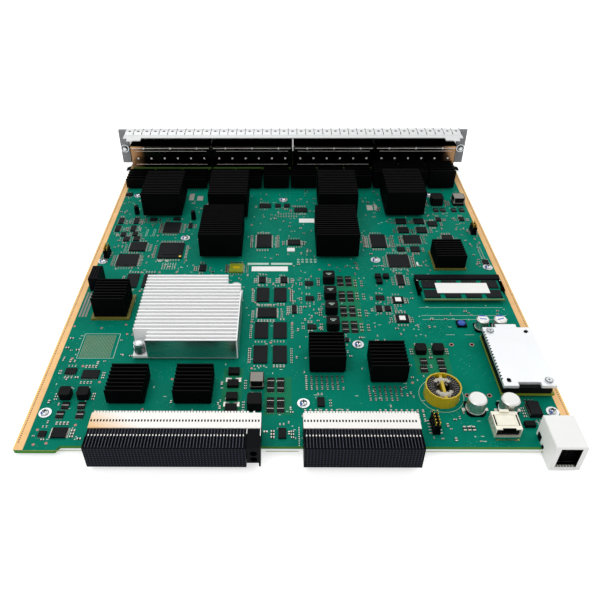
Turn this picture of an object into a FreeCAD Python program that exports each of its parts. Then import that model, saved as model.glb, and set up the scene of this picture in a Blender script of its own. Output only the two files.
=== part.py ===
import FreeCAD, Part
import math
import os

# Chassis switch line card, 48 small-form-factor ports in four stacked cages.
# Card frame: X across the card from the left guide edge, Y from the rear (backplane)
# edge toward the front panel, Z up from the component side of the board.  Millimetres.

# Board and carrier
BOARD_W = 366.0
BOARD_T = 2.4
BOARD_FRONT = 408.0
TONGUE_W = 27.0
REAR_STEP = 4.0
STEP_CHAMFER = 2.5
CORNER_R = 2.0
STANDOFF_H = 1.8
CARRIER_T = 1.0
CARRIER_INSET = 9.0
CARRIER_REAR = 14.0
PANEL_GAP = 1.0
LIP_T = 0.7
LIP_RISE = 2.0
Z_BOARD = -BOARD_T
Z_CARRIER = Z_BOARD - STANDOFF_H
Z_REST = Z_CARRIER - CARRIER_T

# Board screws
SCREW_D = 3.0
SCREW_PLAY = 0.3
WASHER_D = 8.5
WASHER_T = 0.8
SCREW_HEAD_D = 5.6
SCREW_HEAD_H = 1.6
STANDOFF_D = 7.0
BOARD_SCREWS = [(12, 31), (187, 40), (355, 33), (230, 99), (10.5, 208), (80, 246),
                (20, 327), (173, 318), (256, 210), (354, 199), (325, 328)]

# Front panel
PANEL_T = 1.0
PANEL_OVER = 11.6
PANEL_Y = BOARD_FRONT + PANEL_GAP
FLANGE_D = 23.0
FLANGE_OVER = 2.0
TAB_W = 15.2
TAB_D = 30.0
TAB_INSET = 2.7
NOTCH_W = 24.5
NOTCH_TOP = -1.1
STRIP_COUNT = 39
STRIP_PITCH = (BOARD_W + 2 * FLANGE_OVER) / STRIP_COUNT
STRIP_T = 0.2
STRIP_D = 17.5
FINGER_GAP = 0.5
FINGER_RISE = 0.9
FINGER_HOLE_D = 2.2
FINGER_HOLE_IN = 8.0
RAIL_D = 2.0

# Port cages
CAGE_COUNT = 4
COLUMNS = 6
PORT_W = 13.85
WALL = 0.4
CAGE_PITCH = 87.5
CAGE_REAR = 368.2
CAGE_OUT = 3.4
TOP_SLACK = 0.5
FLANGE_PLAY = 0.3
PORT_H = 9.4
SEPARATOR_H = 4.6
SEPARATOR_L = 26.0
PORT_BOARD_Z = 10.1
PORT_BOARD_T = 2.4
PORT_BOARD_REAR = 367.2
PORT_BOARD_NOTCH = 1.6
PORT_BOARD_NOTCH_D = 9.0
CONNECTOR_D = 12.0
CONNECTOR_PLAY = 0.2
PANEL_PLAY = 0.4
RIDGE_H = 2.4
RIDGE_D = 1.0
RIB_D = 0.5
RIB_ZS = (3.7, 19.0)
PEG_Z = 10.8
PEG_D = 2.6
PEG_H = 0.7
COLUMN_PITCH = PORT_W + WALL
CAGE_W = COLUMNS * COLUMN_PITCH + WALL
CAGE_Z = PORT_BOARD_Z + PORT_BOARD_T
CAGE_H = 2 * WALL + 2 * PORT_H + SEPARATOR_H + TOP_SLACK
PANEL_TOP = CAGE_Z + CAGE_H + FLANGE_PLAY + PANEL_T
CAGE_LEFT = (BOARD_W - (CAGE_COUNT - 1) * CAGE_PITCH - CAGE_W) / 2

# Posts and link connectors under the port board
POST_D = 5.0
LINK_L = 62.0
LINK_D = 7.0
LINK_Y = CAGE_REAR + 15.8

# End ears, captive screws and ejector levers
EAR_W = 9.3
EAR_T = 2.5
EAR_INSET = 2.3
EAR_SCREW_X = 7.0
EAR_SCREW_Z = 17.0
FERRULE_D = 7.5
FERRULE_BORE = 4.8
FERRULE_RIM_D = 9.0
FERRULE_RIM_T = 1.2
SHANK_D = 4.0
SHANK_TAIL = 2.0
KNOB_D = 9.5
KNOB_L = 11.0
RUN_GAP = 0.3
COLLAR_D = 7.4
COLLAR_T = 1.0
SCREW_TRAVEL = 3.0
LEVER_T = 1.2
LEVER_PIVOT_X = 3.0
LEVER_PIVOT_Y = 400.0
LEVER_W = 9.0
LEVER_PAD = 6.0
LEVER_REACH = 58.0
GRIP_T = 4.0
GRIP_Z = 9.0
PIVOT_D = 3.0

# Backplane connectors
WAFER_PITCH = 2.0
WAFER_T = 1.6
LEFT_FIRST = 51.5
LEFT_WAFER_COUNT = 50
RIGHT_FIRST = 186.6
RIGHT_WAFER_COUNT = 37
INSULATOR_REAR = -11.5
INSULATOR_FRONT = -2.3
CONN_FRONT = 17.9
CONN_H = 18.0
INSULATOR_DROP = 1.0
WAFER_SHOW = 5.0
SLIT_W = 0.7
SLIT_D = 1.6
STIFFENER_T = 0.8
STIFFENER_REAR = 4.2
TOOTH_L = 1.4
GUIDE_W = 8.6
GUIDE_BORE_D = 4.4
GUIDE_BORE_L = 8.0
GUIDE_BORE_ZS = (6.0, 11.5)
GUIDE_BACK = 1.0
GUIDE_LIFT = 2.5
LEG_W = 1.2

# Power entry socket
SOCKET_W = 19.5
SOCKET_X = BOARD_W - 8.0 - SOCKET_W
SOCKET_REAR = -10.5
SOCKET_FRONT = 15.4
SOCKET_H = 18.0
SOCKET_DROP = 4.0
SOCKET_WALL = 3.2
SOCKET_LIP = 1.6
SOCKET_DEPTH = 17.0
BLADE_T = 0.8
BLADE_H = 9.0
BLADE_INSET = 2.6

# Coolers
FIN_T = 1.0
COOLER_FIN_T = 1.3
BASE_T = 2.0
PACKAGE_H = 3.0
SMALL_PACKAGE_H = 1.8
LARGE_SINK_W = 38.0
LARGE_FIN_COUNT = 15
LARGE_SINKS = [(34, 283, 47, 27.5), (99.7, 280, 49, 29), (207.5, 280, 49, 29),
               (274.2, 284, 48, 28.5), (97.6, 212, 51, 26.7), (202.8, 212, 51, 26.5)]
SQUARE_SINK_W = 26.0
SQUARE_FIN_COUNT = 8
SQUARE_SINKS = [(52, 38.8, 14, 24), (98, 38.8, 14, 24), (192, 69, 17, 24), (235, 59.2, 17.5, 24),
                (21.8, 129.5, 20.4, 30.5), (307, 195.8, 15.3, 28)]
LOW_SINK_W = 27.0
LOW_SINK_Y = 341.5
LOW_SINK_D = 24.0
LOW_SINK_PITCH = 29.2
LOW_SINK_FIRST = 4.7
LOW_SINK_TOPS = [12, 12, 12, 12, 12, 16, 16, 16, 16, 21.5, 21.5, 21.5]
LOW_FIN_COUNT = 5
COOLER_X = 62.0
COOLER_Y = 82.0
COOLER_W = 77.0
COOLER_D = 79.0
COOLER_Z = 2.5
COOLER_TOP = 20.3
COOLER_FIN_COUNT = 20
COOLER_NOTCH = 11.0
COOLER_SKIN = 0.7
SPRING_D = 6.0
SPRING_H = 7.0
SPRING_HEAD_D = 7.5

LOW_PACKAGE = 20.0
COOLER_PACKAGE = 27.0
COOLER_PACKAGE_IN = 22.0

# Packages on the board: centre, width and depth of each
SIDE_GAP = 0.3
MEMORY_H = 1.1
MEMORY_W = 10.5
MEMORY_D = 18.5
MEMORY_CHIPS = [(42.5, 179), (57, 179), (156, 159.5), (170.5, 159.5), (156, 115), (170.5, 115),
                (156, 88), (170.5, 88)]
FLAT_H = 1.5
FLAT_PACKAGES = [(32.5, 209.5, 19, 17.5), (276.5, 208.5, 19, 18.5), (294, 243.5, 16, 12.5),
                 (69.5, 224.5, 22.5, 24), (65, 264, 16, 18), (155, 240.5, 14, 21), (262, 240.5, 14, 21),
                 (160, 136, 15.5, 11.5), (38, 231, 15, 14), (288.5, 259.5, 10, 9), (306, 259.5, 10, 9),
                 (288.5, 275.5, 10, 9), (306, 275.5, 10, 9), (328, 244, 10, 12), (274, 180, 6, 14),
                 (131.5, 197, 12, 12), (26.5, 14, 10, 8), (268, 152.5, 9, 8), (268, 129, 10, 9),
                 (183, 238, 12, 8), (155, 180, 6, 8), (173.5, 180, 6, 8), (172.5, 14, 5, 8),
                 (199, 41, 5, 8)]
SMALL_H = 1.4
SMALL_PACKAGES = [(12.5, 262.5, 5, 9.5), (13, 276.5, 5, 9.5), (27.5, 262.5, 5, 9.5), (28, 276.5, 5, 9.5),
                  (82.5, 267.5, 4, 8), (34, 67, 12, 8), (19, 70, 8, 5.5), (15.5, 13, 5, 4.5),
                  (20, 252, 5, 6), (31, 253, 5, 6), (24.5, 244, 6, 7), (34, 244.5, 6, 7),
                  (101.5, 197.5, 6, 9), (318.5, 271, 9, 8), (44.5, 279, 7, 5), (67.5, 280, 7, 5),
                  (154.5, 305.5, 12, 7), (167.5, 306, 6, 6), (176.5, 306, 6, 6), (190.5, 297, 13, 7),
                  (294.5, 227, 8, 8), (281.5, 227, 7, 6), (195, 154.5, 7, 5), (195, 175, 7, 5),
                  (195.5, 119, 7, 5), (251, 141.5, 5, 7), (258, 141.5, 5, 6), (253.5, 155.5, 7, 5),
                  (10.5, 329, 7, 5), (326, 279, 5, 6), (349, 280, 5, 6), (354, 206.5, 5, 6),
                  (222, 104, 3, 4), (182, 140.5, 4, 10)]
TRANSISTOR_H = 1.1
TRANSISTOR_W = 5.0
TRANSISTOR_D = 6.0
TRANSISTORS = [(24, 37.5), (35, 37.5), (22.5, 29.5), (36, 29.5), (276.5, 81), (275.5, 73), (289, 81),
               (289, 73), (327, 297), (334, 297), (345, 297), (353, 297)]
TRANSISTOR_GROUPS = [(225.5, 178.5), (225.5, 157.5), (225.5, 138.5), (225.5, 119.2), (167.8, 57.2),
                     (167.8, 38.5)]
GROUP_PITCH = 7.0
INDUCTORS = [(22, 46.5, 8, 6), (34.5, 46.5, 8, 6), (154.5, 58, 10, 8), (153.5, 38, 10, 8),
             (276, 92, 8, 5), (289, 92, 8, 5), (330, 312, 12, 8.6), (352, 312, 11.5, 8.6),
             (212, 179, 10, 8), (212, 157.5, 10, 8), (212, 138.5, 10, 8), (212, 119, 10, 8)]
BLOCK_CAP_H = 2.8
BLOCK_CAPS = [(137.5, 69.5, 8, 6), (137.5, 57.5, 8, 6), (137.5, 45.5, 8, 6), (137.5, 35, 8, 6),
              (336, 21.5, 7, 4), (255, 184.5, 5, 5), (262, 184.5, 5, 5), (255.5, 177, 5, 5)]
TALL_CAPS = [(26, 291), (84, 281)]
TALL_CAP_D = 4.0
TALL_CAP_H = 9.0
OPTO = (342.5, 34, 8, 12)
OPTO_H = 4.0
CLIP_CHOKE = (318.5, 19.3, 17, 15, 8)
CLIP_T = 0.8
HEADER_X = 9.7
HEADER_Y = 165.0
HEADER_W = 8.6
HEADER_D = 18.5
HEADER_H = 13.5
PIN_HEADERS = [(12.5, 218, 2, 4), (354.5, 257, 2, 4), (273, 20, 2, 5)]
PIN_PITCH = 2.54
PIN_T = 0.64
PIN_BASE_H = 2.5
PIN_H = 11.0

# DC converter
BRICK_Y = 45.6
BRICK_W = 36.3
BRICK_X = BOARD_W - 6.3 - BRICK_W
BRICK_D = 60.0
BRICK_Z = 2.5
BRICK_BOARD_T = 1.6
BRICK_CORE_TOP = 10.0
BRICK_PLATE_T = 2.5
BRICK_TAB_W = 15.6
BRICK_TAB_D = 3.6
BRICK_PIN_D = 1.8
BRICK_SCREW_D = 5.0
BRICK_EDGE = 2.0

# Memory module and its socket
MODULE_W = 67.6
MODULE_D = 30.0
MODULE_T = 1.0
MODULE_X = 287.6
MODULE_Y = 148.3
MODULE_Z = 3.6
MODULE_CHIP_T = 1.1
MSOCKET_H = 6.0
MSOCKET_D = 7.5
MSOCKET_BITE = 4.0
LATCH_T = 1.8
LATCH_L = 15.0
LATCH_GAP = 0.3
LATCH_HOOK = 1.0
LATCH_HOOK_L = 4.0
LATCH_PIN_D = 1.2

# Capacitors, chokes, headers
CAN_D = 12.5
CAN_H = 12.0
SMALL_CAN_D = 9.7
SMALL_CAN_H = 10.5
CAN_BASE_T = 1.5
CAN_EDGE = 0.8
CANS = [(303.2, 35), (325, 34.5)]
SMALL_CANS = [(327.7, 118), (341.2, 118)]
RING_X = 283.0
RING_Y = 48.0
RING_D = 24.4
RING_H = 10.0
BAND_T = 0.9
BAR_W = 2.0
COIL_BORE = 9.0
COIL_H = 9.0
COIL_SWEEP = 130.0
COIL_SIDE_COUNT = 9

FINE = 0.01


def box(x0, x1, y0, y1, z0, z1):
    return Part.makeBox(x1 - x0, y1 - y0, z1 - z0, FreeCAD.Vector(x0, y0, z0))


def block(cx, cy, w, d, z0, z1):
    return box(cx - w / 2, cx + w / 2, cy - d / 2, cy + d / 2, z0, z1)


def rod(x, y, z0, z1, d):
    return Part.makeCylinder(d / 2, z1 - z0, FreeCAD.Vector(x, y, z0))


def rod_y(x, z, y0, y1, d):
    return Part.makeCylinder(d / 2, y1 - y0, FreeCAD.Vector(x, y0, z), FreeCAD.Vector(0, 1, 0))


def prism(x, y, z0, z1, across, sides):
    """Upright many-sided bar, measured across its flats."""
    r = across / 2 / math.cos(math.pi / sides)
    turn = 2 * math.pi / sides
    angles = [(k + 0.5) * turn for k in range(sides)]
    points = [(x + r * math.cos(angle), y + r * math.sin(angle)) for angle in angles]
    return plate(points, z0, z1)


def prism_y(x, z, y0, y1, across, sides):
    """Many-sided bar lying along Y, measured across its flats."""
    bar = prism(x, -z, y0, y1, across, sides)
    bar.rotate(FreeCAD.Vector(0, 0, 0), FreeCAD.Vector(1, 0, 0), -90)
    return bar


def stud(x, y, z0, z1, d):
    """Small pin, shank or hole: six-sided, as the eye cannot tell at this size."""
    return prism(x, y, z0, z1, d, 6)


def plate(points, z0, z1):
    """Flat plate: an outline in XY raised from z0 to z1."""
    wire = Part.makePolygon([FreeCAD.Vector(x, y, z0) for x, y in points + points[:1]])
    return Part.Face(wire).extrude(FreeCAD.Vector(0, 0, z1 - z0))


def section(points, x0, x1):
    """Bar of constant section: an outline in YZ drawn along X."""
    wire = Part.makePolygon([FreeCAD.Vector(x0, y, z) for y, z in points + points[:1]])
    return Part.Face(wire).extrude(FreeCAD.Vector(x1 - x0, 0, 0))


def front_view(points, y0, y1):
    """Sheet or wall: an outline in XZ drawn along Y."""
    wire = Part.makePolygon([FreeCAD.Vector(x, y0, z) for x, z in points + points[:1]])
    return Part.Face(wire).extrude(FreeCAD.Vector(0, y1 - y0, 0))


def chamfer_top(shape, size):
    """Breaks the edges round the highest flat face."""
    top = max(shape.Faces, key=lambda face: face.CenterOfMass.z)
    return shape.makeChamfer(size, top.Edges)


def mirrored(shape):
    """The same piece at the other end of the card."""
    return shape.mirror(FreeCAD.Vector(BOARD_W / 2, 0, 0), FreeCAD.Vector(1, 0, 0))


def save(name, solids):
    """Writes one node with the origin midway across the board, at the rest plane."""
    shape = Part.makeCompound(solids) if len(solids) > 1 else solids[0]
    shape = shape.copy()
    shape.translate(FreeCAD.Vector(-BOARD_W / 2, -BOARD_FRONT / 2, -Z_REST))
    shape.exportStep("parts/" + name + ".step")


# ---------------------------------------------------------------- board and carrier

def circuit_board():
    outline = [(0, 0), (TONGUE_W, 0), (TONGUE_W + STEP_CHAMFER, REAR_STEP), (BOARD_W, REAR_STEP),
               (BOARD_W, BOARD_FRONT), (0, BOARD_FRONT)]
    board = plate(outline, Z_BOARD, 0)
    corner = [e for e in board.Edges if abs(e.CenterOfMass.x) < FINE and abs(e.CenterOfMass.y) < FINE]
    board = board.makeFillet(CORNER_R, corner)
    holes = [stud(x, y, Z_BOARD - 1, 1, SCREW_D + 2 * SCREW_PLAY) for x, y in BOARD_SCREWS]
    return board.cut(Part.makeCompound(holes))


def board_screws():
    """Pan-head screws, each with a wide washer and its shank down into the standoff."""
    screws = []
    for x, y in BOARD_SCREWS:
        screw = prism(x, y, 0, WASHER_T, WASHER_D, 12)
        screw = screw.fuse(prism(x, y, WASHER_T, WASHER_T + SCREW_HEAD_H, SCREW_HEAD_D, 8))
        screw = screw.fuse(stud(x, y, Z_CARRIER, 0, SCREW_D))
        screws.append(screw.removeSplitter())
    return screws


def carrier_standoffs():
    """Hexagonal spacers pressed into the carrier, bored for the board screws."""
    spacers = []
    for x, y in BOARD_SCREWS:
        spacer = prism(x, y, Z_CARRIER, Z_BOARD, STANDOFF_D, 6)
        spacers.append(spacer.cut(stud(x, y, Z_CARRIER - 1, Z_BOARD + 1, SCREW_D)))
    return spacers


def carrier_plate():
    """Folded sheet under the board, with a front lip and a pad under each lever pivot."""
    pad_x = LEVER_PIVOT_X - LEVER_PAD
    pad_y = LEVER_PIVOT_Y - LEVER_PAD
    right = BOARD_W - CARRIER_INSET
    outline = [(CARRIER_INSET, CARRIER_REAR), (right, CARRIER_REAR), (right, pad_y - CARRIER_INSET),
               (BOARD_W - pad_x, pad_y), (BOARD_W - pad_x, PANEL_Y), (pad_x, PANEL_Y),
               (pad_x, pad_y), (CARRIER_INSET, pad_y - CARRIER_INSET)]
    sheet = plate(outline, Z_REST, Z_CARRIER)
    lip = box(NOTCH_W, BOARD_W - NOTCH_W, PANEL_Y - LIP_T, PANEL_Y, Z_CARRIER, Z_BOARD + LIP_RISE)
    holes = []
    for side in (LEVER_PIVOT_X, BOARD_W - LEVER_PIVOT_X):
        holes.append(rod(side, LEVER_PIVOT_Y, Z_REST - 1, Z_CARRIER + 1, PIVOT_D))
    return sheet.fuse(lip).cut(Part.makeCompound(holes)).removeSplitter()


# ---------------------------------------------------------------- front panel

def cage_x(index):
    return CAGE_LEFT + index * CAGE_PITCH


def face_panel():
    """One sheet: the face with four cage windows, and its top flange with two corner tabs."""
    left = -PANEL_OVER
    right = BOARD_W + PANEL_OVER
    notch = left + NOTCH_W
    face = [(notch, Z_REST), (right - NOTCH_W, Z_REST), (right - NOTCH_W, NOTCH_TOP), (right, NOTCH_TOP),
            (right, PANEL_TOP), (left, PANEL_TOP), (left, NOTCH_TOP), (notch, NOTCH_TOP)]
    panel = front_view(face, PANEL_Y, PANEL_Y + PANEL_T)
    tab = TAB_INSET + TAB_W
    rear = PANEL_Y - FLANGE_D
    tab_rear = PANEL_Y - TAB_D
    flange = [(-FLANGE_OVER, PANEL_Y), (-FLANGE_OVER, rear), (TAB_INSET, rear), (TAB_INSET, tab_rear),
              (tab, tab_rear), (tab, rear), (BOARD_W - tab, rear), (BOARD_W - tab, tab_rear),
              (BOARD_W - TAB_INSET, tab_rear), (BOARD_W - TAB_INSET, rear), (BOARD_W + FLANGE_OVER, rear),
              (BOARD_W + FLANGE_OVER, PANEL_Y)]
    panel = panel.fuse(plate(flange, PANEL_TOP - PANEL_T, PANEL_TOP))
    cuts = []
    for index in range(CAGE_COUNT):
        x = cage_x(index)
        cuts.append(box(x - PANEL_PLAY, x + CAGE_W + PANEL_PLAY, PANEL_Y - 1, PANEL_Y + PANEL_T + 1,
                        CAGE_Z - PANEL_PLAY, PANEL_TOP - PANEL_T))
    for x in (-EAR_SCREW_X, BOARD_W + EAR_SCREW_X):
        cuts.append(prism_y(x, EAR_SCREW_Z, PANEL_Y - 1, PANEL_Y + PANEL_T + 1, FERRULE_D, 12))
    return panel.cut(Part.makeCompound(cuts)).removeSplitter()


def emi_strip():
    """Spring-finger strip on the flange: a flat rail, then one arched finger per pitch."""
    foot = PANEL_TOP + STRIP_T
    crest = foot + FINGER_RISE
    rear = PANEL_Y - STRIP_D
    start = rear + RAIL_D
    near = start + (PANEL_Y - start) * 0.35
    far = start + (PANEL_Y - start) * 0.75
    arch = [(start, PANEL_TOP), (start, foot), (near, crest), (far, crest), (PANEL_Y, foot),
            (PANEL_Y, PANEL_TOP), (far, crest - STRIP_T), (near, crest - STRIP_T)]
    width = STRIP_PITCH - FINGER_GAP
    finger = section(arch, 0, width)
    finger = finger.cut(prism(width / 2, PANEL_Y - FINGER_HOLE_IN, PANEL_TOP, crest + 1, FINGER_HOLE_D, 4))
    first = (FINGER_GAP - STRIP_PITCH * STRIP_COUNT + BOARD_W) / 2
    pieces = []
    for index in range(STRIP_COUNT):
        copy = finger.copy()
        copy.translate(FreeCAD.Vector(first + index * STRIP_PITCH, 0, 0))
        pieces.append(copy)
    rail = box(-FLANGE_OVER, BOARD_W + FLANGE_OVER, rear, start, PANEL_TOP, foot)
    return rail.multiFuse(pieces).removeSplitter()


def end_ear():
    """Cast end plate behind the panel, as tall as the flange, bored for the captive screw."""
    x1 = -EAR_INSET
    y0 = PANEL_Y - EAR_T
    ear = box(x1 - EAR_W, x1, y0, PANEL_Y, NOTCH_TOP, PANEL_TOP)
    ear = ear.cut(prism_y(-EAR_SCREW_X, EAR_SCREW_Z, y0 - 1, PANEL_Y + 1, FERRULE_D, 12))
    foot = [e for e in ear.Edges if abs(e.CenterOfMass.z - NOTCH_TOP) < FINE and e.Length > EAR_T * 2]
    return ear.makeChamfer(0.6, foot)


def ferrule():
    """Flared sleeve through ear and panel that holds the captive screw."""
    x = -EAR_SCREW_X
    rear = PANEL_Y - EAR_T
    front = PANEL_Y + PANEL_T
    body = prism_y(x, EAR_SCREW_Z, rear, front, FERRULE_D, 12)
    body = body.fuse(prism_y(x, EAR_SCREW_Z, rear - FERRULE_RIM_T, rear, FERRULE_RIM_D, 12))
    body = body.fuse(prism_y(x, EAR_SCREW_Z, front, front + FERRULE_RIM_T, FERRULE_RIM_D, 12))
    bore = prism_y(x, EAR_SCREW_Z, rear - 5, front + 5, FERRULE_BORE, 12)
    return body.cut(bore).removeSplitter()


def collar_rear():
    return PANEL_Y + PANEL_T + FERRULE_RIM_T + SCREW_TRAVEL + RUN_GAP


def screw_collar():
    """Loose collar between the ferrule and the knob; it slides in and out with the screw."""
    y = collar_rear()
    body = prism_y(-EAR_SCREW_X, EAR_SCREW_Z, y, y + COLLAR_T, COLLAR_D, 12)
    return body.cut(prism_y(-EAR_SCREW_X, EAR_SCREW_Z, y - 1, y + COLLAR_T + 1, SHANK_D + 2 * RUN_GAP, 12))


def captive_screw():
    """Shank through the ferrule with a sixteen-sided, slotted knob in front."""
    x = -EAR_SCREW_X
    knob_y = collar_rear() + COLLAR_T + RUN_GAP
    tail = PANEL_Y - EAR_T - FERRULE_RIM_T - SHANK_TAIL
    shank = rod_y(x, EAR_SCREW_Z, tail, knob_y, SHANK_D)
    knob = prism_y(x, EAR_SCREW_Z, knob_y, knob_y + KNOB_L, KNOB_D, 16)
    slot = box(x - 0.6, x + 0.6, knob_y + KNOB_L - 2, knob_y + KNOB_L + 1, EAR_SCREW_Z - KNOB_D,
               EAR_SCREW_Z + KNOB_D)
    return shank.fuse(knob).cut(slot).removeSplitter()


def ejector_lever():
    """Flat steel lever between board and carrier with an upright grip along the panel."""
    z1 = Z_BOARD - RUN_GAP
    z0 = z1 - LEVER_T
    px = LEVER_PIVOT_X
    py = LEVER_PIVOT_Y
    half = LEVER_W / 2
    grip_y = PANEL_Y + PANEL_T + 1.6
    blade = [(px - half, py - half), (px + half, py - half), (px + half + 4, grip_y),
             (px + LEVER_REACH, grip_y), (px + LEVER_REACH, grip_y + GRIP_T), (px, grip_y + GRIP_T),
             (px - half, grip_y - 2)]
    lever = plate(blade, z0, z1)
    jaw = [(px - half, py + 1), (px - half - 4, py - 2),
           (px - half - 4, py - half - 4), (px - 2, py - half)]
    lever = lever.fuse(plate(jaw, z0, z1))
    grip = [(px + half + 5, grip_y), (px + LEVER_REACH, grip_y), (px + LEVER_REACH, grip_y + GRIP_T + 2),
            (px + LEVER_REACH - 14, grip_y + GRIP_T), (px + half + 5, grip_y + GRIP_T)]
    upright = plate(grip, z0, GRIP_Z)
    lever = lever.fuse(upright).cut(rod(px, py, z0 - 1, z1 + 1, PIVOT_D + 0.1))
    return lever.removeSplitter()


def lever_pivot():
    """Rivet that stands up from the carrier pad through the lever."""
    z1 = Z_BOARD - RUN_GAP
    return rod(LEVER_PIVOT_X, LEVER_PIVOT_Y, Z_REST, z1, PIVOT_D)


# ---------------------------------------------------------------- port cages

def port_board():
    """Raised board under the cages, notched at the rear between neighbours."""
    x0 = cage_x(0)
    x1 = cage_x(CAGE_COUNT - 1) + CAGE_W
    board = box(x0, x1, PORT_BOARD_REAR, PANEL_Y - PANEL_GAP, PORT_BOARD_Z, CAGE_Z)
    notches = []
    for index in range(1, CAGE_COUNT):
        x = cage_x(index) - (CAGE_PITCH - CAGE_W) / 2
        notches.append(block(x, PORT_BOARD_REAR, PORT_BOARD_NOTCH, 2 * PORT_BOARD_NOTCH_D,
                             PORT_BOARD_Z - 1, CAGE_Z + 1))
    return board.cut(Part.makeCompound(notches))


def port_board_posts():
    posts = []
    for index in range(CAGE_COUNT):
        for x in (cage_x(index) + 8, cage_x(index) + CAGE_W - 8):
            posts.append(prism(x, LINK_Y + LINK_D + 10, 0, PORT_BOARD_Z, POST_D, 6))
    return posts


def link_connectors():
    """Board-to-board connectors, one under each cage."""
    links = []
    for index in range(CAGE_COUNT):
        x = cage_x(index) + CAGE_W / 2
        body = block(x, LINK_Y, LINK_L, LINK_D, 0, PORT_BOARD_Z)
        groove = block(x, LINK_Y, LINK_L + 2, LINK_D + 2, PORT_BOARD_Z * 0.48, PORT_BOARD_Z * 0.52)
        core = block(x, LINK_Y, LINK_L - 3, LINK_D - 2, 0, PORT_BOARD_Z)
        links.append(body.cut(groove.cut(core)))
    return links


def cage_shell(index):
    """Folded cover: top and two sides, open below and at both ends."""
    x0 = cage_x(index)
    x1 = x0 + CAGE_W
    z1 = CAGE_Z + CAGE_H
    profile = [(x0, CAGE_Z), (x0 + WALL, CAGE_Z), (x0 + WALL, z1 - WALL), (x1 - WALL, z1 - WALL),
               (x1 - WALL, CAGE_Z), (x1, CAGE_Z), (x1, z1), (x0, z1)]
    return front_view(profile, CAGE_REAR, PANEL_Y + PANEL_T + CAGE_OUT)


def cage_floor(index):
    x0 = cage_x(index) + WALL
    x1 = x0 + CAGE_W - 2 * WALL
    return box(x0, x1, CAGE_REAR + WALL, PANEL_Y + PANEL_T + CAGE_OUT, CAGE_Z, CAGE_Z + WALL)


def rear_cover(index):
    """Pressed end plate with an upper ridge, two long ribs and a locating peg per column."""
    x0 = cage_x(index) + WALL
    x1 = x0 + CAGE_W - 2 * WALL
    z0 = CAGE_Z
    z1 = CAGE_Z + CAGE_H - WALL
    cover = box(x0, x1, CAGE_REAR, CAGE_REAR + WALL, z0, z1)
    ridge_top = z1 - 0.6
    ridge = [(CAGE_REAR, ridge_top), (CAGE_REAR - RIDGE_D, ridge_top - 0.6),
             (CAGE_REAR - RIDGE_D, ridge_top - RIDGE_H + 0.6), (CAGE_REAR, ridge_top - RIDGE_H)]
    pieces = [section(ridge, x0, x1)]
    for rise in RIB_ZS:
        z = z0 + rise
        rib = [(CAGE_REAR, z - RIB_D), (CAGE_REAR - RIB_D, z), (CAGE_REAR, z + RIB_D)]
        pieces.append(section(rib, x0 + 4, x1 - 4))
    for column in range(COLUMNS):
        x = x0 + (column + 0.5) * COLUMN_PITCH - WALL / 2
        z = z0 + PEG_Z - PEG_D / 2
        pieces.append(block(x, CAGE_REAR - PEG_H / 2, PEG_D, PEG_H, z, z + PEG_D))
    return cover.multiFuse(pieces).removeSplitter()


def column_x(index, column):
    """Left inner face of one port column."""
    return cage_x(index) + WALL + column * COLUMN_PITCH


def cage_dividers(index):
    walls = []
    for column in range(1, COLUMNS):
        x = column_x(index, column) - WALL
        walls.append(box(x, x + WALL, CAGE_REAR + WALL, PANEL_Y + PANEL_T + CAGE_OUT, CAGE_Z + WALL,
                         CAGE_Z + CAGE_H - WALL))
    return walls


def port_separators(index):
    """Middle bar of each column, tapered at the mouth; it carries the light pipes."""
    bars = []
    front = PANEL_Y + PANEL_T + CAGE_OUT
    z0 = CAGE_Z + WALL + PORT_H
    z1 = z0 + SEPARATOR_H
    profile = [(front - SEPARATOR_L, z0), (front - 1, z0), (front, z0 + 0.8), (front, z1 - 0.8),
               (front - 1, z1), (front - SEPARATOR_L, z1)]
    for column in range(COLUMNS):
        x = column_x(index, column)
        bars.append(section(profile, x, x + PORT_W))
    return bars


def port_connectors(index):
    """Stacked receptacle at the back of each column, with an upper and a lower mouth."""
    rear = CAGE_REAR + WALL + CONNECTOR_PLAY
    z0 = CAGE_Z + WALL
    z1 = z0 + 2 * PORT_H + SEPARATOR_H
    lower = z0 + PORT_H / 2
    upper = z1 - PORT_H / 2
    front = rear + CONNECTOR_D
    mouth = 4.0
    profile = [(rear, z0), (front, z0), (front, lower - 1), (front - mouth, lower - 1),
               (front - mouth, lower + 1), (front, lower + 1), (front, upper - 1),
               (front - mouth, upper - 1), (front - mouth, upper + 1), (front, upper + 1),
               (front, z1), (rear, z1)]
    blocks = []
    for column in range(COLUMNS):
        x = column_x(index, column) + CONNECTOR_PLAY
        blocks.append(section(profile, x, x + PORT_W - 2 * CONNECTOR_PLAY))
    return blocks


# ---------------------------------------------------------------- rear connectors

def wafer_span(first, count):
    """Outer faces of a row of wafers."""
    return first - WAFER_T / 2, first + (count - 1) * WAFER_PITCH + WAFER_T / 2


def wafers(first, count):
    """Thin contact wafers behind the insulator, joined along their feet."""
    top = CONN_H - STIFFENER_T
    x0, x1 = wafer_span(first, count)
    body = box(x0, x1, INSULATOR_FRONT, CONN_FRONT - TOOTH_L - STIFFENER_T, 0, top)
    gaps = []
    for index in range(count - 1):
        x = first + index * WAFER_PITCH + WAFER_T / 2
        gaps.append(box(x, x + WAFER_PITCH - WAFER_T, INSULATOR_FRONT - 1, STIFFENER_REAR,
                        top - WAFER_SHOW, top + 1))
    return body.cut(Part.makeCompound(gaps))


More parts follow.
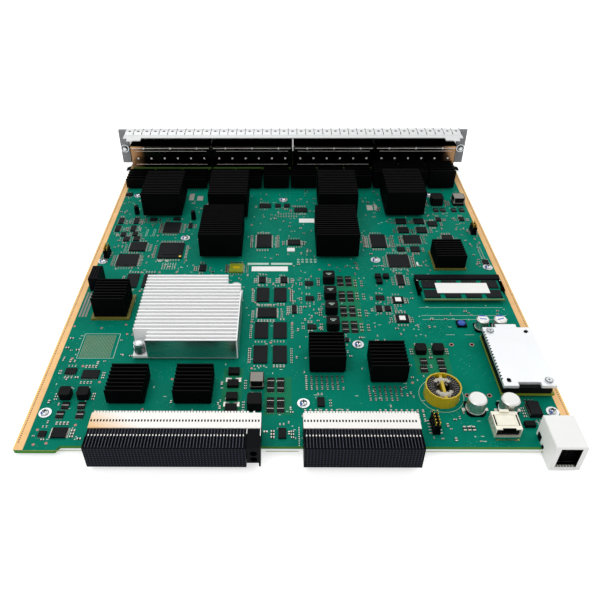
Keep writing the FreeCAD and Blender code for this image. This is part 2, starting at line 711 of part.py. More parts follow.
def insulator(first, count):
    """Moulded housing with a slit over every wafer."""
    x0, x1 = wafer_span(first, count)
    body = box(x0, x1, INSULATOR_REAR, INSULATOR_FRONT, -INSULATOR_DROP, CONN_H)
    long = [e for e in body.Edges if e.Length > x1 - x0 - 1]
    rear = [e for e in long if abs(e.CenterOfMass.y - INSULATOR_REAR) < FINE]
    body = body.makeChamfer(0.5, rear)
    slits = []
    for index in range(count):
        x = first + index * WAFER_PITCH
        slits.append(box(x - SLIT_W / 2, x + SLIT_W / 2, INSULATOR_REAR + 1.2, INSULATOR_FRONT + 1,
                         CONN_H - SLIT_D, CONN_H + 1))
    return body.cut(Part.makeCompound(slits)).removeSplitter()


def stiffener(first, count, extra):
    """Pressed metal strip over the wafers and the guide block, toothed along its front edge."""
    x0, x1 = wafer_span(first, count)
    x1 = x1 + extra
    front = CONN_FRONT - TOOTH_L
    strip = box(x0, x1, STIFFENER_REAR, front, CONN_H - STIFFENER_T, CONN_H)
    strip = strip.fuse(box(x0, x1, front - STIFFENER_T, front, 3.0, CONN_H))
    teeth = []
    for index in range(count // 2):
        x = first + (2 * index + 0.5) * WAFER_PITCH
        teeth.append(box(x - WAFER_T / 2, x + WAFER_T / 2, front, CONN_FRONT, CONN_H - STIFFENER_T, CONN_H))
    return strip.multiFuse(teeth).removeSplitter()


def guide_block():
    """Block at the end of the left connector, under its stiffener, bored from the rear for guide pins."""
    x0 = wafer_span(LEFT_FIRST, LEFT_WAFER_COUNT)[1] + SIDE_GAP
    x1 = x0 + GUIDE_W
    rear = INSULATOR_REAR + GUIDE_BACK
    front = CONN_FRONT - TOOTH_L - STIFFENER_T
    top = CONN_H - STIFFENER_T
    shelf = REAR_STEP + SIDE_GAP
    profile = [(rear, GUIDE_LIFT), (shelf, GUIDE_LIFT), (shelf, 0), (front, 0), (front, top), (rear, top)]
    body = section(profile, x0, x1)
    for z in GUIDE_BORE_ZS:
        body = body.cut(prism_y((x0 + x1) / 2, z, rear - 1, rear + GUIDE_BORE_L, GUIDE_BORE_D, 12))
    leg = box(x1 - LEG_W, x1, rear, INSULATOR_FRONT, -INSULATOR_DROP, GUIDE_LIFT)
    return body.fuse(leg).removeSplitter()


def power_socket():
    """Moulded entry socket that steps down past the board edge, open to the rear."""
    x1 = SOCKET_X + SOCKET_W
    profile = [(SOCKET_REAR, -SOCKET_DROP), (REAR_STEP - SIDE_GAP, -SOCKET_DROP), (REAR_STEP - SIDE_GAP, 0),
               (SOCKET_FRONT, 0), (SOCKET_FRONT, SOCKET_H), (SOCKET_REAR, SOCKET_H)]
    body = section(profile, SOCKET_X, x1)
    cavity = box(SOCKET_X + SOCKET_WALL, x1 - SOCKET_WALL, SOCKET_REAR - 1, SOCKET_REAR + SOCKET_DEPTH,
                 SOCKET_LIP - SOCKET_DROP + 1.4, SOCKET_H - SOCKET_LIP)
    body = body.cut(cavity)
    edges = [e for e in body.Edges if abs(e.CenterOfMass.z - SOCKET_H) < FINE]
    return body.makeChamfer(0.5, edges)


def power_blades():
    """Flat contacts standing in the socket, fixed in its inner wall."""
    blades = []
    y1 = SOCKET_REAR + SOCKET_DEPTH
    middle = SOCKET_H / 2 - 1
    for x in (SOCKET_X + SOCKET_WALL + BLADE_INSET, SOCKET_X + SOCKET_W - SOCKET_WALL - BLADE_INSET):
        blades.append(block(x, y1 - 6, BLADE_T, 12, middle - BLADE_H / 2, middle + BLADE_H / 2))
    return blades


# ---------------------------------------------------------------- coolers

def fin_sink(x0, y0, w, d, z0, top, fins):
    """Extruded cooler: a base with fins along X, outer fins flush with the base."""
    base = z0 + BASE_T
    pitch = (d - FIN_T) / (fins - 1)
    profile = [(y0, z0), (y0 + d, z0)]
    for index in range(fins):
        y = y0 + d - index * pitch
        profile.append((y, top))
        profile.append((y - FIN_T, top))
        if index < fins - 1:
            profile.append((y - FIN_T, base))
            profile.append((y - pitch, base))
    return section(profile, x0, x0 + w)


def large_sinks():
    return [fin_sink(x, y, LARGE_SINK_W, d, PACKAGE_H, top, LARGE_FIN_COUNT)
            for x, y, d, top in LARGE_SINKS]


def square_sinks():
    side = SQUARE_SINK_W
    return [fin_sink(x, y, side, side, SMALL_PACKAGE_H, top, SQUARE_FIN_COUNT)
            for x, y, top, under in SQUARE_SINKS]


def low_sinks():
    sinks = []
    for index, top in enumerate(LOW_SINK_TOPS):
        x = LOW_SINK_FIRST + index * LOW_SINK_PITCH + (LOW_SINK_PITCH - LOW_SINK_W) / 2
        sinks.append(fin_sink(x, LOW_SINK_Y, LOW_SINK_W, LOW_SINK_D, SMALL_PACKAGE_H, top, LOW_FIN_COUNT))
    return sinks


def aluminium_cooler():
    """Bare cooler with two stepped corners for its spring screws and a skin on one side."""
    x1 = COOLER_X + COOLER_W
    y1 = COOLER_Y + COOLER_D
    z1 = COOLER_Z + BASE_T
    body = box(COOLER_X, x1, COOLER_Y, y1, COOLER_Z, z1)
    pitch = (COOLER_D - COOLER_FIN_T) / (COOLER_FIN_COUNT - 1)
    fins = []
    for index in range(COOLER_FIN_COUNT):
        y = COOLER_Y + index * pitch
        left = COOLER_X + COOLER_NOTCH if y < COOLER_Y + COOLER_NOTCH else COOLER_X
        right = x1 - COOLER_NOTCH if y > y1 - COOLER_NOTCH - COOLER_FIN_T else x1
        fins.append(box(left, right, y, y + COOLER_FIN_T, z1, COOLER_TOP))
    skin = box(x1, x1 + COOLER_SKIN, COOLER_Y, y1 - COOLER_NOTCH * 2, COOLER_Z, COOLER_TOP)
    return body.multiFuse(fins + [skin]).removeSplitter()


def cooler_screws():
    """Shouldered spring screws standing on the two clear corners of the cooler's base."""
    screws = []
    z0 = COOLER_Z + BASE_T
    inset = COOLER_NOTCH / 2 - 0.6
    for x, y in ((COOLER_X + inset, COOLER_Y + inset),
                 (COOLER_X + COOLER_W - inset, COOLER_Y + COOLER_D - inset)):
        screw = prism(x, y, z0, z0 + SPRING_H, SPRING_D, 12)
        head = prism(x, y, z0 + SPRING_H, z0 + SPRING_H + 2.2, SPRING_HEAD_D, 12)
        screws.append(screw.fuse(head).removeSplitter())
    return screws


# ---------------------------------------------------------------- packages

def cooled_packages():
    """Grid-array packages under the coolers."""
    packages = []
    for x, y, d, top in LARGE_SINKS:
        packages.append(block(x + LARGE_SINK_W / 2, y + d / 2, LARGE_SINK_W - 1.5, LARGE_SINK_W - 1.5,
                              0, PACKAGE_H))
    for x, y, top, under in SQUARE_SINKS:
        middle = SQUARE_SINK_W / 2
        packages.append(block(x + middle, y + middle, under, under, 0, SMALL_PACKAGE_H))
    for index in range(len(LOW_SINK_TOPS)):
        x = LOW_SINK_FIRST + (index + 0.5) * LOW_SINK_PITCH
        packages.append(block(x, LOW_SINK_Y + LOW_SINK_D / 2, LOW_PACKAGE, LOW_PACKAGE, 0, SMALL_PACKAGE_H))
    inset = COOLER_PACKAGE_IN
    for x in (COOLER_X + inset, COOLER_X + COOLER_W - inset):
        for y in (COOLER_Y + inset, COOLER_Y + COOLER_D - inset):
            packages.append(block(x, y, COOLER_PACKAGE, COOLER_PACKAGE, 0, COOLER_Z))
    return packages


def chips(places, height):
    """Moulded packages: centre, width and depth of each."""
    return [block(x, y, w, d, 0, height) for x, y, w, d in places]


def power_inductors():
    """Pressed power inductors: square bodies with the upright corners cut."""
    coils = []
    for x, y, side, height in INDUCTORS:
        body = block(x, y, side, side, 0, height)
        upright = [e for e in body.Edges if abs(e.CenterOfMass.z - height / 2) < FINE]
        coils.append(body.makeChamfer(side * 0.12, upright))
    return coils


# ---------------------------------------------------------------- converter

def converter_board():
    body = box(BRICK_X, BRICK_X + BRICK_W, BRICK_Y, BRICK_Y + BRICK_D, BRICK_Z, BRICK_Z + BRICK_BOARD_T)
    for x, y in pin_places():
        body = body.cut(stud(x, y, BRICK_Z - 1, BRICK_Z + BRICK_BOARD_T + 1, BRICK_PIN_D))
    return body


def pin_places():
    """Power pins along the two short ends of the converter."""
    places = []
    for y in (BRICK_Y + BRICK_EDGE + 1, BRICK_Y + BRICK_D - BRICK_EDGE - 1):
        for x in (BRICK_X + 5, BRICK_X + BRICK_W / 2, BRICK_X + BRICK_W - 5):
            places.append((x, y))
    return places


def converter_pins():
    return [stud(x, y, 0, BRICK_Z + BRICK_BOARD_T, BRICK_PIN_D) for x, y in pin_places()]


def converter_core():
    """Potted middle of the converter between its board and its plate."""
    edge = BRICK_EDGE
    return box(BRICK_X + edge, BRICK_X + BRICK_W - edge, BRICK_Y + edge, BRICK_Y + BRICK_D - edge,
               BRICK_Z + BRICK_BOARD_T, BRICK_CORE_TOP)


def plate_corners():
    """Screwed corners first, threaded ones after."""
    inset = 4.6
    x1 = BRICK_X + BRICK_W - inset
    y1 = BRICK_Y + BRICK_D - inset
    return [(BRICK_X + inset, y1), (x1, BRICK_Y + inset), (x1, y1), (BRICK_X + inset, BRICK_Y + inset)]


def converter_plate():
    """Bare base plate with a tab at one end, a matching notch at the other and serrated edges."""
    top = BRICK_CORE_TOP + BRICK_PLATE_T
    x1 = BRICK_X + BRICK_W
    y1 = BRICK_Y + BRICK_D
    tab0 = BRICK_X + (BRICK_W - BRICK_TAB_W) / 2
    tab1 = tab0 + BRICK_TAB_W
    outline = [(BRICK_X, BRICK_Y), (tab0, BRICK_Y), (tab0, BRICK_Y + BRICK_TAB_D),
               (tab1, BRICK_Y + BRICK_TAB_D), (tab1, BRICK_Y), (x1, BRICK_Y), (x1, y1), (tab1, y1),
               (tab1, y1 + BRICK_TAB_D), (tab0, y1 + BRICK_TAB_D), (tab0, y1), (BRICK_X, y1)]
    body = chamfer_top(plate(outline, BRICK_CORE_TOP, top), 0.3)
    for x, y in plate_corners():
        body = body.cut(stud(x, y, BRICK_CORE_TOP - 1, top + 1, SCREW_D))
    return body


def converter_screws():
    top = BRICK_CORE_TOP + BRICK_PLATE_T
    screws = []
    for x, y in plate_corners()[:2]:
        screw = stud(x, y, BRICK_CORE_TOP, top, SCREW_D)
        head = prism(x, y, top, top + 0.9, BRICK_SCREW_D, 12)
        screws.append(screw.fuse(head).removeSplitter())
    return screws


# ---------------------------------------------------------------- memory module

def module_rear():
    """Edge of the module that is pressed into the socket."""
    return MODULE_Y + MODULE_D


def module_socket():
    """Low angled socket: a bar with a slot for the card edge and an end lug for each latch."""
    x0 = MODULE_X - LATCH_GAP - LATCH_T
    x1 = MODULE_X + MODULE_W + LATCH_GAP + LATCH_T
    y0 = module_rear() - MSOCKET_BITE
    body = box(x0, x1, y0, y0 + MSOCKET_D, 0, MSOCKET_H)
    slot = box(MODULE_X - LATCH_GAP, MODULE_X + MODULE_W + LATCH_GAP, y0 - 1, module_rear(), MODULE_Z,
               MODULE_Z + MODULE_T)
    edges = [e for e in body.Edges if abs(e.CenterOfMass.z - MSOCKET_H) < FINE and e.Length > MSOCKET_D + 1]
    return body.makeChamfer(0.8, edges).cut(slot)


def memory_module():
    """Card with a key notch and side latch notches."""
    card = box(MODULE_X, MODULE_X + MODULE_W, MODULE_Y, module_rear(), MODULE_Z, MODULE_Z + MODULE_T)
    key = block(MODULE_X + MODULE_W * 0.42, module_rear(), 1.2, 6, MODULE_Z - 1, MODULE_Z + MODULE_T + 1)
    return card.cut(key)


def module_chips():
    """Two rows of memory packages on the top of the module."""
    z0 = MODULE_Z + MODULE_T
    bodies = []
    for row in (MODULE_Y + 7, MODULE_Y + 19.5):
        for column in range(4):
            x = MODULE_X + MODULE_W * (column + 0.5) / 4
            bodies.append(block(x, row, 12.5, 9.5, z0, z0 + MODULE_CHIP_T))
    return bodies


def module_latch():
    """Sprung side latch: an upright arm on a pin with a hook over the module."""
    x1 = MODULE_X - LATCH_GAP
    x0 = x1 - LATCH_T
    y1 = module_rear() - MSOCKET_BITE - LATCH_GAP
    y0 = y1 - LATCH_L
    over = MODULE_Z + MODULE_T + LATCH_GAP
    arm = box(x0, x1, y0, y1, LATCH_GAP, over + 1.2)
    hook = box(x1, x1 + LATCH_GAP + LATCH_HOOK, y0, y0 + LATCH_HOOK_L, over, over + 1.2)
    bore = rod((x0 + x1) / 2, y1 - 1.5, -1, over + 2, LATCH_PIN_D + 0.1)
    return arm.fuse(hook).cut(bore).removeSplitter()


def across_module(shape):
    """The same piece at the other side of the memory module."""
    return shape.mirror(FreeCAD.Vector(MODULE_X + MODULE_W / 2, 0, 0), FreeCAD.Vector(1, 0, 0))


def latch_pin():
    x = MODULE_X - LATCH_GAP - LATCH_T / 2
    y = module_rear() - MSOCKET_BITE - LATCH_GAP - 1.5
    return rod(x, y, 0, MODULE_Z + MODULE_T + LATCH_GAP + 1.2, LATCH_PIN_D)


# ---------------------------------------------------------------- capacitors, chokes, headers

def can(x, y, d, h):
    """Rolled can with a turned-over top edge."""
    return chamfer_top(prism(x, y, CAN_BASE_T, h, d, 20), CAN_EDGE)


def bulk_capacitors():
    cans = [can(x, y, CAN_D, CAN_H) for x, y in CANS]
    cans = cans + [can(x, y, SMALL_CAN_D, SMALL_CAN_H) for x, y in SMALL_CANS]
    return cans + [prism(x, y, 0, TALL_CAP_H, TALL_CAP_D, 12) for x, y in TALL_CAPS]


def capacitor_bases():
    """Moulded feet with two corners cut to show the polarity."""
    bases = []
    for places, d in ((CANS, CAN_D), (SMALL_CANS, SMALL_CAN_D)):
        for x, y in places:
            h = (d + 0.4) / 2
            cut = h * 0.35
            outline = [(x - h + cut, y - h), (x + h - cut, y - h), (x + h, y - h + cut), (x + h, y + h),
                       (x - h, y + h), (x - h, y - h + cut)]
            bases.append(plate(outline, 0, CAN_BASE_T))
    return bases


def ring_core():
    """Taped band round the choke, with the bar that keeps its two windings apart."""
    band = prism(RING_X, RING_Y, 0, RING_H, RING_D, 16)
    inside = RING_D - 2 * BAND_T
    band = band.cut(prism(RING_X, RING_Y, -1, RING_H + 1, inside, 16))
    return band.fuse(block(RING_X, RING_Y, BAR_W, inside, 0, COIL_H)).removeSplitter()


def ring_winding(middle):
    """One half of the choke winding: a fat sector that fills the band on one side of the bar."""
    outer = RING_D / 2 - BAND_T
    inner = COIL_BORE / 2
    shares = [k / COIL_SIDE_COUNT - 0.5 for k in range(COIL_SIDE_COUNT + 1)]
    angles = [math.radians(middle + COIL_SWEEP * share) for share in shares]
    points = [(RING_X + outer * math.cos(a), RING_Y + outer * math.sin(a)) for a in angles]
    points += [(RING_X + inner * math.cos(a), RING_Y + inner * math.sin(a)) for a in reversed(angles)]
    return plate(points, 0, COIL_H)


def box_header():
    """Shrouded connector: a block with four rows of contact slots on top."""
    x1 = HEADER_X + HEADER_W
    y1 = HEADER_Y + HEADER_D
    body = chamfer_top(box(HEADER_X, x1, HEADER_Y, y1, 0, HEADER_H), 0.5)
    slots = []
    for row in range(4):
        x = HEADER_X + HEADER_W * (row + 0.5) / 4
        slots.append(box(x - 0.4, x + 0.4, HEADER_Y + 1.5, y1 - 1.5, HEADER_H - 1.5, HEADER_H + 1))
    return body.cut(Part.makeCompound(slots))


def header_bases():
    bases = []
    for x, y, columns, rows in PIN_HEADERS:
        bases.append(block(x, y, columns * PIN_PITCH, rows * PIN_PITCH, 0, PIN_BASE_H))
    return bases


def header_pins():
    pins = []
    for x, y, columns, rows in PIN_HEADERS:
        for i in range(columns):
            for j in range(rows):
                px = x + (i - (columns - 1) / 2) * PIN_PITCH
                py = y + (j - (rows - 1) / 2) * PIN_PITCH
                pins.append(block(px, py, PIN_T, PIN_T, PIN_BASE_H, PIN_H))
    return pins


def clip_choke():
    """Folded steel clip round a ferrite choke, open to the rear, with side slots and a foot."""
    x, y, w, d, h = CLIP_CHOKE
    clip = block(x, y, w, d, 0, h)
    inner = w / 2 - CLIP_T
    hollow = box(x - inner, x + inner, y - d / 2 - 1, y + d / 2 - CLIP_T, CLIP_T, h - CLIP_T)
    clip = clip.cut(hollow)
    for side in (-1, 1):
        for k in (-1, 0, 1):
            clip = clip.cut(block(x + side * w / 2, y + k * 4, 3 * CLIP_T, 1.2, h * 0.3, h * 0.8))
    return clip.fuse(block(x, y + d / 2 + 0.4, 5, 0.8, 0, 2.0)).removeSplitter()


def choke_core():
    x, y, w, d, h = CLIP_CHOKE
    side = w / 2 - CLIP_T - 0.3
    return box(x - side, x + side, y - d / 2 + 1.5, y + d / 2 - CLIP_T, CLIP_T, h - CLIP_T)


def optocoupler():
    x, y, w, d = OPTO
    return chamfer_top(block(x, y, w, d, 0, OPTO_H), 0.4)


def transistors():
    """Single power transistors, then the two-by-two groups beside the power inductors."""
    places = [(x, y, TRANSISTOR_W, TRANSISTOR_D) for x, y in TRANSISTORS]
    half = GROUP_PITCH / 2
    for x, y in TRANSISTOR_GROUPS:
        for dx in (-half, half):
            for dy in (-half, half):
                places.append((x + dx, y + dy, TRANSISTOR_W, TRANSISTOR_D))
    return chips(places, TRANSISTOR_H)


def every_cage(make):
    solids = []
    for index in range(CAGE_COUNT):
        solids.extend(make(index))
    return solids


save("circuit_board", [circuit_board()])
save("board_screws", board_screws())
save("carrier_standoffs", carrier_standoffs())
save("carrier_plate", [carrier_plate()])
save("face_panel", [face_panel()])
save("emi_strip", [emi_strip()])
save("end_ears", [end_ear(), mirrored(end_ear())])
save("screw_ferrules", [ferrule(), mirrored(ferrule())])
save("screw_collar_left", [screw_collar()])
save("screw_collar_right", [mirrored(screw_collar())])
save("captive_screw_left", [captive_screw()])
save("captive_screw_right", [mirrored(captive_screw())])
save("ejector_lever_left", [ejector_lever()])
save("ejector_lever_right", [mirrored(ejector_lever())])
save("pivot_pins", [lever_pivot(), mirrored(lever_pivot()), latch_pin(), across_module(latch_pin())])
save("port_board", [port_board()])
save("port_board_posts", port_board_posts())
save("link_connectors", link_connectors())
save("cage_shells", [cage_shell(index) for index in range(CAGE_COUNT)])
save("cage_floors", [cage_floor(index) for index in range(CAGE_COUNT)])
save("cage_rear_covers", [rear_cover(index) for index in range(CAGE_COUNT)])
save("cage_dividers", every_cage(cage_dividers))
save("port_separators", every_cage(port_separators))
save("port_connectors", every_cage(port_connectors))
save("connector_wafers", [wafers(LEFT_FIRST, LEFT_WAFER_COUNT), wafers(RIGHT_FIRST, RIGHT_WAFER_COUNT)])
save("connector_insulators", [insulator(LEFT_FIRST, LEFT_WAFER_COUNT),
                              insulator(RIGHT_FIRST, RIGHT_WAFER_COUNT)])
save("connector_stiffeners", [stiffener(LEFT_FIRST, LEFT_WAFER_COUNT, SIDE_GAP + GUIDE_W),
                              stiffener(RIGHT_FIRST, RIGHT_WAFER_COUNT, 0)])
save("guide_block", [guide_block()])
save("power_socket", [power_socket()])
save("power_blades", power_blades())
save("large_sinks", large_sinks())
save("square_sinks", square_sinks())
save("low_sinks", low_sinks())
save("aluminium_cooler", [aluminium_cooler()])
save("cooler_screws", cooler_screws())
save("cooled_packages", cooled_packages())
board_memory = [(x, y, MEMORY_W, MEMORY_D) for x, y in MEMORY_CHIPS]
save("memory_chips", chips(board_memory, MEMORY_H) + module_chips())
save("flat_packages", chips(FLAT_PACKAGES, FLAT_H))
save("small_packages", chips(SMALL_PACKAGES, SMALL_H) + [optocoupler()])
save("power_transistors", transistors())
save("power_inductors", power_inductors())
save("block_capacitors", chips(BLOCK_CAPS, BLOCK_CAP_H))
save("bulk_capacitors", bulk_capacitors())
save("capacitor_bases", capacitor_bases())
save("converter_board", [converter_board()])
save("converter_pins", converter_pins())
save("converter_core", [converter_core()])
save("converter_plate", [converter_plate()])
save("converter_screws", converter_screws())
save("module_socket", [module_socket()])
save("memory_module", [memory_module()])
save("module_latch_left", [module_latch()])
save("module_latch_right", [across_module(module_latch())])
save("ring_core", [ring_core()])
save("ring_winding", [ring_winding(0), ring_winding(180)])
save("header_bases", header_bases() + [box_header()])
save("header_pins", header_pins())
save("clip_choke", [clip_choke()])
save("choke_core", [choke_core()])
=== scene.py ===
"""Dresses the switch line card: board detail, leads, finishes, studio and camera.

Places are card millimetres: x from the board's left edge, y from its rear edge and z from its
upper face. A block is given as x0, x1, y0, y1, z0, z1.
"""
import math
import random

import bmesh
import bpy
from mathutils import Euler, Matrix, Vector


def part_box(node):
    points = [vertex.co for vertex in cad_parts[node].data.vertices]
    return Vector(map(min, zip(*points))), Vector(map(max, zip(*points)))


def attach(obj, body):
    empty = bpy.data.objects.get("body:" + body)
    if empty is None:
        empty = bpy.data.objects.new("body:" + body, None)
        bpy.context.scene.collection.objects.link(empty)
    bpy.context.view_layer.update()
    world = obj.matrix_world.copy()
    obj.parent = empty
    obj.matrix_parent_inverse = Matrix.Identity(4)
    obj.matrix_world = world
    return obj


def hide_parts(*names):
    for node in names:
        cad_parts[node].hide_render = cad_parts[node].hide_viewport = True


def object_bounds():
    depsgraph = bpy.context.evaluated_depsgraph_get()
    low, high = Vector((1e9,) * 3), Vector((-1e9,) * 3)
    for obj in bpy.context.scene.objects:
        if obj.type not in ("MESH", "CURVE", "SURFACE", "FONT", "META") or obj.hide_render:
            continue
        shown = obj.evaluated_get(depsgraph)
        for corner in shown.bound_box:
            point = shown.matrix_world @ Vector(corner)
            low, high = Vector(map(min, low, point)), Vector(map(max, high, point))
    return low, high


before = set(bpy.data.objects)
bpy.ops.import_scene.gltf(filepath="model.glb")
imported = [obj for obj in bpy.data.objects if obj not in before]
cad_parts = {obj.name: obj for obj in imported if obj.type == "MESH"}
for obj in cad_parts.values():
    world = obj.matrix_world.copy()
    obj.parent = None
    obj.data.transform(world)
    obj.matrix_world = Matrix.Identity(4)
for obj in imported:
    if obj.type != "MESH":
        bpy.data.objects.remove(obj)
cad_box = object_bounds()

MM = 0.001
BOARD_LO, BOARD_HI = [Vector(corner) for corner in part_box("circuit_board")]
BOARD_W = (BOARD_HI.x - BOARD_LO.x) / MM
BOARD_D = (BOARD_HI.y - BOARD_LO.y) / MM
# Thickness of copper, mask and ink, then the upper faces of pads and of printed marks.
SKIN = 0.04
PAD = 1.5 * SKIN
PRINT = 2 * SKIN
# Widths of the bare guide strips and of the gold rims outside them.
EDGE_STRIP = 6.4
MASK_EDGE = 0.4
WAFER_PITCH = 2.0
PORT_PITCH = 14.25
PORT_COLUMNS = 6
FINGER_COUNT = 39
LEAD_PITCH = 1.27


def at(x, y, z=0.0):
    """Scene point for a place on the card."""
    return Vector((BOARD_LO.x + x * MM, BOARD_LO.y + y * MM, BOARD_HI.z + z * MM))


def card(point):
    """Place on the card for a scene point."""
    x, y, z = point
    return (x - BOARD_LO.x) / MM, (y - BOARD_LO.y) / MM, (z - BOARD_HI.z) / MM


# ---- shader helpers

def linear(code):
    """Linear colour from an sRGB hex code."""
    values = [int(code[k:k + 2], 16) / 255 for k in (1, 3, 5)]
    return [v / 12.92 if v <= 0.04045 else ((v + 0.055) / 1.055) ** 2.4 for v in values] + [1.0]


def add(tree, kind, inputs=None, **settings):
    """Adds a node; inputs maps a socket's name or number to a value, a socket or a node."""
    made = tree.nodes.new(kind)
    for key, value in settings.items():
        setattr(made, key, value)
    for key, value in (inputs or {}).items():
        if isinstance(value, bpy.types.Node):
            value = value.outputs[0]
        if isinstance(value, bpy.types.NodeSocket):
            tree.links.new(value, made.inputs[key])
        else:
            made.inputs[key].default_value = value
    return made


def finish(name, colour, roughness=0.5, metallic=0.0, ior=1.5, grain=0.05, grain_mm=1.0, bump=0.0,
           tone=0.1, tone_mm=20.0, shine=0.5, wipe=0.0, rim=1.0):
    """A surface with a broken tone, a fine grain in its gloss and relief, and optional brushing.

    Metals keep the default IOR; shine alone scales what their non-metallic share reflects.
    """
    material = bpy.data.materials.new(name)
    material.use_nodes = True
    tree = material.node_tree
    shader = tree.nodes["Principled BSDF"]
    shader.inputs["Metallic"].default_value = metallic
    shader.inputs["IOR"].default_value = ior
    shader.inputs["Specular IOR Level"].default_value = shine
    shader.inputs["Specular Tint"].default_value = (rim, rim, rim, 1.0)
    place = add(tree, "ShaderNodeTexCoord").outputs["Object"]
    if wipe:
        place = add(tree, "ShaderNodeMapping", {"Vector": place, "Scale": (wipe, 1.0, 1.0)})
    fine = add(tree, "ShaderNodeTexNoise", {"Vector": place, "Scale": 1.0 / (grain_mm * MM), "Detail": 3.0})
    broad = add(tree, "ShaderNodeTexNoise", {"Vector": place, "Scale": 1.0 / (tone_mm * MM), "Detail": 2.0})
    plain = linear(colour)[:3]
    low, high = [[min(1.0, c * k) for c in plain] + [1.0] for k in (1 - tone, 1 + tone)]
    blend = add(tree, "ShaderNodeMix", {0: broad, 6: low, 7: high}, data_type="RGBA")
    tree.links.new(blend.outputs[2], shader.inputs["Base Color"])
    least, most = max(0.02, roughness - grain), roughness + grain
    spread = add(tree, "ShaderNodeMapRange", {"Value": fine, 1: 0.3, 2: 0.7, 3: least, 4: most})
    tree.links.new(spread.outputs[0], shader.inputs["Roughness"])
    if bump:
        relief = add(tree, "ShaderNodeBump", {"Strength": 0.5, "Distance": bump * MM, "Height": fine})
        tree.links.new(relief.outputs[0], shader.inputs["Normal"])
    return material


def copied(base, name):
    """A copy of a finish, with its tree, its shader and the colour that feeds the shader."""
    material = base.copy()
    material.name = name
    shader = material.node_tree.nodes["Principled BSDF"]
    return material, material.node_tree, shader, shader.inputs["Base Color"].links[0].from_socket


# ---- finishes

# Liquid solder mask: sprayed, cured epoxy over copper, so deep green with a soft gloss.
MASK = finish("solder_mask", "#007963", 0.3, grain_mm=0.8, tone=0.14, tone_mm=14, shine=0.02)
# Mask over a full copper pour: the same sprayed green, lit from below by the copper, so a little
# lighter.
MASK_POUR = finish("solder_mask_over_copper", "#1c7a57", 0.35, shine=0.02)
# Bare copper guide strip: etched, then rubbed by the chassis guides, so warm, pale and satin.
COPPER = finish("bare_copper", "#e3b983", 0.5, 0.5, grain=0.1, grain_mm=0.6, tone=0.14, tone_mm=9,
                shine=0.028)
# Immersion gold on pads and rims: thin plating, a bright yellow line at the edge.
GOLD = finish("immersion_gold", "#d9b54e", 0.34, 1.0, grain=0.06, grain_mm=0.4, tone_mm=3)
# Tin on joints, leads and pads: reflowed, so soft bright grey.
TIN = finish("reflowed_tin", "#b9b7b0", 0.36, 0.9, grain=0.1, grain_mm=0.3, tone=0.12, tone_mm=2,
             shine=0.213)
# Test lands: copper under flux and organic finish, which reads as dull pink.
LAND = finish("test_land", "#b5807a", 0.5, 0.3, grain=0.1, grain_mm=0.4, tone=0.12, tone_mm=2,
              shine=0.213)
# Legend ink: screened epoxy, flat greenish white where the mask shows through.
LEGEND = finish("legend_ink", "#b9d3c6", 0.65, tone_mm=2)
# Blank paper labels and pale tops: calendered or moulded, so matte and only slightly uneven.
PAPER = finish("blank_label", "#f6f6f3", 0.75, ior=1.4, grain_mm=0.2, bump=0.01, tone=0.04,
               tone_mm=6)
# Black anodised aluminium: etched then dyed, so it swallows light and keeps a faint satin edge.
ANODISED = finish("black_anodised_aluminium", "#040405", 0.5, grain=0.08, grain_mm=0.6, bump=0.01,
                  tone=0.2, tone_mm=12, shine=0.042)
# Extruded aluminium: drawn along the fins, so streaked and bright.
ALUMINIUM = finish("extruded_aluminium", "#fcfcfd", 0.45, 0.1, grain=0.1, grain_mm=0.5, bump=0.01,
                   tone=0.05, tone_mm=8, shine=0.028, wipe=0.08)
# Milled and blasted aluminium lid: a fine even frost, nearly white.
FROST = finish("blasted_aluminium", "#e6e8ea", 0.5, 0.6, grain=0.08, grain_mm=0.4, bump=0.01,
               tone=0.03, tone_mm=15, shine=0.028)
# Nickel-plated cage sheet: rolled and plated, nearly a mirror; its colour is painted near black, a painted
# shade and reflection of the dark things it faces. Its shine counts only where painted_reflection() makes a
# copy less metallic.
NICKEL = finish("nickel_sheet_painted_dark", "#1f1c19", 0.17, 1.0, grain_mm=1.5, tone=0.25, tone_mm=30,
                shine=0.666, rim=0.12)
# Bright zinc on steel: clear passivate, pale and a little cloudy.
ZINC = finish("zinc_plated_steel", "#c9ccce", 0.34, 1.0, grain=0.1, tone_mm=10)
# Satin stainless of stiffeners and sheared edges: pressed strip, brighter than the zinc.
SATIN = finish("satin_stainless", "#eceae6", 0.5, 0.3, grain=0.08, grain_mm=0.5, tone=0.04,
               tone_mm=25, shine=0.208)
# Panel sheet and finger strip: bright rolled stainless with fine lines along its length.
STAINLESS = finish("rolled_stainless", "#dddfdf", 0.4, 0.6, grain=0.08, grain_mm=0.5, tone=0.06,
                   tone_mm=30, shine=0.347, wipe=0.05)
# End castings: grey powder coat, fine even orange peel.
GREY_PAINT = finish("grey_powder_coat", "#8f9194", 0.55, grain=0.06, grain_mm=0.5, bump=0.02,
                    tone=0.06, tone_mm=12, shine=0.4)
# Glass-filled nylon of connectors: moulded black, matte with a soft sheen.
NYLON = finish("black_nylon", "#04050a", 0.45, ior=1.53, grain=0.08, grain_mm=0.5, bump=0.01,
               tone=0.15, tone_mm=6, shine=0.04)
# Plain nickel on small shields and clips: cream-grey, satin from the rolling.
SHIELD = finish("nickel_shield", "#e6e2d2", 0.4, 0.4, grain=0.1, grain_mm=0.8, tone_mm=4,
                shine=0.666)
# Bright-rolled metal of the cooler's end fin and the screw heads, so it picks up the board in front
# of it.
MIRROR = finish("bright_fin_face", "#c9cccd", 0.3, 1.0, grain=0.04, grain_mm=2.0, tone=0.05,
                wipe=0.05)
# Substrate of the grid-array packages: bismaleimide laminate under gold-green mask.
SUBSTRATE = finish("package_substrate", "#6f6a2c", 0.5, grain=0.06, tone=0.15, tone_mm=3,
                   shine=0.35)
